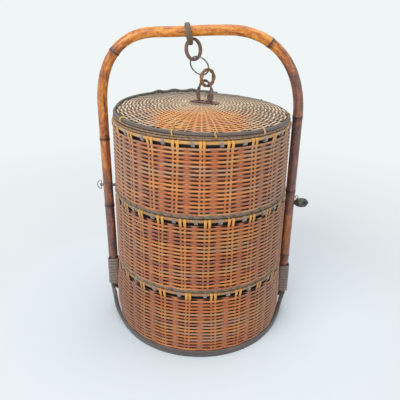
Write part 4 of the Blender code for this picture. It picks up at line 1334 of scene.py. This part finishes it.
def make_lid_top():
    """The woven dome with its spokes, the ribbed middle and the slotted bridge strip."""
    cane_depth = 0.0010
    weave = grow("lid_weave", lid_weave, lid_cane, rows=39, start=0.0221, pitch=0.0028, front=0.0009,
                 width=0.0027, thickness=0.0011, edge_radius=lid_edge_radius,
                 edge_height=lid_edge_top - cane_depth, rise=lid_rise, wander=0.0007, seed=3)
    settle_lid(weave, "woven_cane", "lid_disc")
    spoke_start, spoke_end = 0.0196, 0.1290
    rings = []
    for step in range(17):
        radius = spoke_start + (spoke_end - spoke_start) * step / 16
        centre = polar(radius, 0.0, lid_height(radius) - cane_depth)
        rings.append([centre + Vector((0.0011 * math.cos(angle), 0, 0.0005 * math.sin(angle)))
                      for angle in round_angles(8)])
    spokes = grow_round("lid_spokes", skin("spoke", rings, lid_spoke_cane), lid_spoke_cane, count=38,
                        scatter=0.01, seed=2)
    settle_lid(spokes, "woven_cane", "lid_disc")
    middle = [[polar(radius, angle, lid_height(radius) - drop + ridge * (index % 2))
               for index, angle in enumerate(round_angles(76))]
              for radius, drop, ridge in ((0.0005, 0.0022, 0.0), (0.0202, 0.0022, 0.0), (0.0208, 0.0012, 0.0),
                                          (0.0202, 0.0004, 0.0006), (0.0120, 0.0004, 0.0004),
                                          (0.0005, 0.0002, 0.0))]
    plate = skin("lid_middle", middle, lid_spoke_cane)
    bridge_height = 0.37415
    slot_reach, slot_size = 0.00775, (0.0124, 0.0092, 0.02)
    turn = (Matrix.Translation((loop_centre.x, loop_centre.y, 0))
            @ Matrix.Rotation(math.radians(loop_turn), 4, "Z"))
    strip = []
    for x, half_y, drop in ((-0.0218, 0.0050, 0.0006), (-0.0200, 0.0061, 0.0001), (-0.008, 0.0065, 0.0),
                            (0.008, 0.0065, 0.0), (0.0200, 0.0061, 0.0001), (0.0218, 0.0050, 0.0006)):
        strip.append([turn @ Vector((x, y, bridge_height + z - drop)) for y, z in (
            (-half_y, 0.0003), (-half_y + 0.0006, 0.0), (half_y - 0.0006, 0.0), (half_y, 0.0003),
            (half_y, 0.0010), (half_y - 0.0007, 0.0014), (-half_y + 0.0007, 0.0014), (-half_y, 0.0010))])
    bridge = skin("lid_bridge_strip", strip, bridge_cane)
    for piece, slot, node in ((plate, "woven_cane", "lid_disc"), (bridge, "split_bamboo", "lid_bridge")):
        spots = [turn @ Vector((side * slot_reach, 0, 0)) for side in (-1, 1)]
        cut(piece, *[box_cutter((spot.x, spot.y, 0.37), slot_size, math.radians(loop_turn))
                     for spot in spots])
        settle_lid(piece, slot, node)


def make_lid():
    """Skirt ropes, bound rim hoop, woven top and plaited back border."""
    make_rope("lid_skirt_rope", "lid", "lid_skirt", 0.1347, 0.3547, skirt_rope, spread=0.00075,
              width=0.0021, thickness=0.0021, turns=95.0, seed=8)
    make_rope("lid_skirt_upper_rope", "lid", "lid_skirt", 0.1336, 0.3579, skirt_rope, lid_lean / 2,
              spread=0.0009, width=0.0025, thickness=0.0025, turns=80.0, seed=18)
    make_lid_hoop()
    make_lid_top()
    plait_humps = ((215.9, 3.4), (202.7, 4.4), (188.3, 4.0))
    plaits = []
    for drop, strands in ((0.0, 3), (0.0019, 2)):
        wavy = []
        for index in range(181):
            degrees = 168 + 106 * index / 180
            wave = sum(hump(degrees - middle, wide) for middle, wide in plait_humps)
            sunk = drop + 0.0016 * soft_step((178 - degrees) / 10)
            wavy.append(polar(0.1290 + 0.0004 * wave, math.radians(degrees), 0.3652 + 0.0024 * wave - sunk))
        plaits.append(grow("plait", upright_strands, border_plait, path_mesh(wavy), strands=strands,
                           turns=16.0, spread=0.0010, width=0.0027, thickness=0.0020, sides=7, uneven=0.3,
                           seed=12))
    settle_lid(join("lid_back_plait", plaits), "dark_cane")


# Chain


def link_points(place, reach, turn=0.0, lean=0.0, tilt=0.0, count=72):
    """The middle line of an oval ring that is leaned, tilted and turned, in degrees."""
    spot = (Matrix.Translation(place) @ Matrix.Rotation(math.radians(turn), 4, "Z")
            @ Matrix.Rotation(math.radians(tilt), 4, "X") @ Matrix.Rotation(math.radians(lean), 4, "Y"))
    return [spot @ Vector((reach[0] * math.cos(angle), 0, reach[1] * math.sin(angle)))
            for angle in round_angles(count)]


def side_swell(most, count):
    """Swell of a ring that is thickest at its two sides."""
    return [most * abs(math.cos(angle)) ** 1.5 for angle in round_angles(count)]


def make_link(node, slot, finish, points, swell=None, **sizes):
    """One ring of the chain."""
    values = {"swell": swell} if swell else {}
    link = grow(node + "_cane", twisted_strands, finish, path_mesh(points, closed=True, **values), **sizes)
    settle(link, node, slot, node)


def make_chain():
    """Five rings from the bar down to the loop through the lid."""
    centre = Vector((-0.0208, 0, 0.47351))
    strip = link_points(centre, (0.0144, 0.0144), 90, tilt=-12)
    axis = (strip[0] - centre).cross(strip[18] - centre).normalized()
    rings = []
    for index, point in enumerate(strip):
        outward = (point - centre).normalized()
        wide = 0.0039 + 0.0003 * math.sin(index / 5)
        rings.append([point + axis * (wide * math.cos(angle)) + outward * (0.0019 * math.sin(angle))
                      for angle in round_angles(12)])
    settle(skin("bar_ring_strip", rings, strip_rattan, closed=True), "bar_ring", "rattan", "bar_ring")
    make_link("upper_link", "rattan", link_rattan,
              link_points((-0.0140, 0.0009, 0.45182), (0.0127, 0.0148), 36.5, -3, -9), side_swell(0.30, 72),
              width=0.0044, thickness=0.0044, sides=14, uneven=0.10, seed=5)
    make_link("wire_ring", "iron_wire", grey_wire,
              link_points((-0.0047, -0.0008, 0.42867), (0.0171, 0.0142), -38, 1, 17.6),
              width=0.0022, thickness=0.0022, sides=12, uneven=0.04, seed=6)
    make_link("lower_link", "rattan", knot_rattan,
              link_points((0.0078, 0, 0.41084), (0.0134, 0.0121), 46, 5, -3, 96), side_swell(0.55, 96),
              strands=2, turns=4.0, spread=0.0010, width=0.0028, thickness=0.0028, sides=10, seed=7)
    swell = []
    for angle in round_angles(96):
        legs = soft_step((0.75 - math.sin(angle)) / 0.9)
        in_slot = 0.5 * soft_step((-0.3 - math.sin(angle)) / 0.3)
        swell.append(legs * (1 - in_slot) * (0.95 if math.cos(angle) > 0 else 0.8))
    line = link_points(loop_centre, (0.0107, 0.01987), loop_turn, 2, count=96)
    outer = grow("loop_outer", twisted_strands, link_rattan, path_mesh(line, closed=True, swell=swell),
                 strands=2, turns=5.0, spread=0.0009, width=0.0026, thickness=0.0026, sides=10, seed=8)
    spot = Matrix.Translation(loop_centre) @ Matrix.Rotation(math.radians(loop_turn), 4, "Z")
    knots = [spot @ Vector(knot) for knot in ((0.0108, 0, 0.0070), (0.0062, -0.0008, 0.0030),
                                              (0.0046, 0.0006, -0.0060), (0.0062, 0, -0.0170))]
    crossing = path_mesh(geometry.interpolate_bezier(*knots, 24))
    inner = grow("loop_inner", twisted_strands, link_rattan, crossing, strands=2, turns=1.5, spread=0.0008,
                 width=0.0028, thickness=0.0028, sides=10, seed=3)
    settle(join("lid_loop_cane", [outer, inner]), "lid_loop", "rattan", "lid_loop")


# Pins


def lathe_along_x(name, profile, start_x, side, height, finish, facets=32, ribs=0, rib_share=0.0):
    """Turn a profile round an X axis, with rounded ribs where it has them."""
    rings = []
    for length, radius in profile:
        ring = []
        for angle in round_angles(facets):
            thick = radius * (1 - rib_share * (0.5 - 0.5 * math.cos(angle * ribs)))
            ring.append(Vector((start_x + side * length, thick * math.cos(angle),
                                height + thick * math.sin(angle))))
        rings.append(ring)
    return skin(name, rings, finish)


def make_pins():
    """The two pins, the wire bail on the left, the bud on the right and the tiny eye over it."""
    inner_end_x = 0.1380
    profile = ((0.0, 0.0010), (0.0004, 0.0019), (0.0012, 0.0022), (0.0219, 0.0022), (0.0221, 0.0020),
               (0.0264, 0.0020), (0.0268, 0.0015), (0.0270, 0.0006))
    pin = lathe_along_x("left_pin_shaft", profile, -inner_end_x, -1, left_pin_height, grey_wire)
    cut(pin, round_cutter(0.0009, 0.008, (left_pin_eye_x, 0, left_pin_height)))
    settle(pin, "left_pin", "iron_wire", "left_pin")
    bail = [Vector((left_pin_eye_x, 0, left_pin_height - 0.0060 + 0.0020 * step)) for step in range(7)]
    for step in range(21):
        angle = math.pi / 2 - (step + 0.5) * math.pi / 21
        bail.append(Vector((left_pin_eye_x - 0.0066 * math.cos(angle), 0,
                            left_pin_height + 0.0074 * math.sin(angle))))
    make_link("left_pull_ring", "iron_wire", grey_wire, bail, width=0.0012, thickness=0.0012, sides=10,
              uneven=0.05)
    profile = ((0.0, 0.0012), (0.0004, 0.0022), (0.0012, 0.0025), (0.0186, 0.0025))
    stem = lathe_along_x("right_pin_shaft", profile, inner_end_x, 1, right_pin_height, grey_wire)
    settle(stem, "right_pin", "iron_wire", "right_pin")
    bud_length, bud_radius = 0.0239, 0.0082
    shares = ((0.0, 0.30), (0.005, 0.46), (0.05, 0.52), (0.12, 0.70), (0.20, 0.86), (0.30, 0.95),
              (0.42, 0.99), (0.54, 0.99), (0.66, 0.95), (0.76, 0.86), (0.84, 0.68), (0.90, 0.44),
              (0.94, 0.24), (0.97, 0.13), (0.995, 0.08), (1.0, 0.03))
    knob = lathe_along_x("bud_knob", [(length * bud_length, share * bud_radius) for length, share in shares],
                         0.1567, 1, right_pin_height, bud_metal, facets=96, ribs=8, rib_share=0.14)
    settle(knob, "right_pin", "iron_wire", "right_knob")
    low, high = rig.box("right_eye")
    line = link_points((low + high) / 2, (0.0024, 0.0024), count=28)
    eye = grow("right_wire_eye", twisted_strands, grey_wire, path_mesh(line, closed=True), width=0.0012,
               thickness=0.0012, sides=8)
    settle(eye, "frame", "iron_wire", "right_eye")


make_pole()
make_straps()
make_lashing("left_foot_lashing", "left_lashing", left_foot_x, -1, left_pole_end, 3)
make_lashing("right_foot_lashing", "right_lashing", right_foot_x, 1, right_pole_end, 9)
make_tiers()
make_lid()
make_chain()
make_pins()

with open("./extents.json", "w") as report:
    json.dump({"cad": [list(corner) for corner in cad_box],
               "visual": [list(corner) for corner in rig.bounds()]}, report)
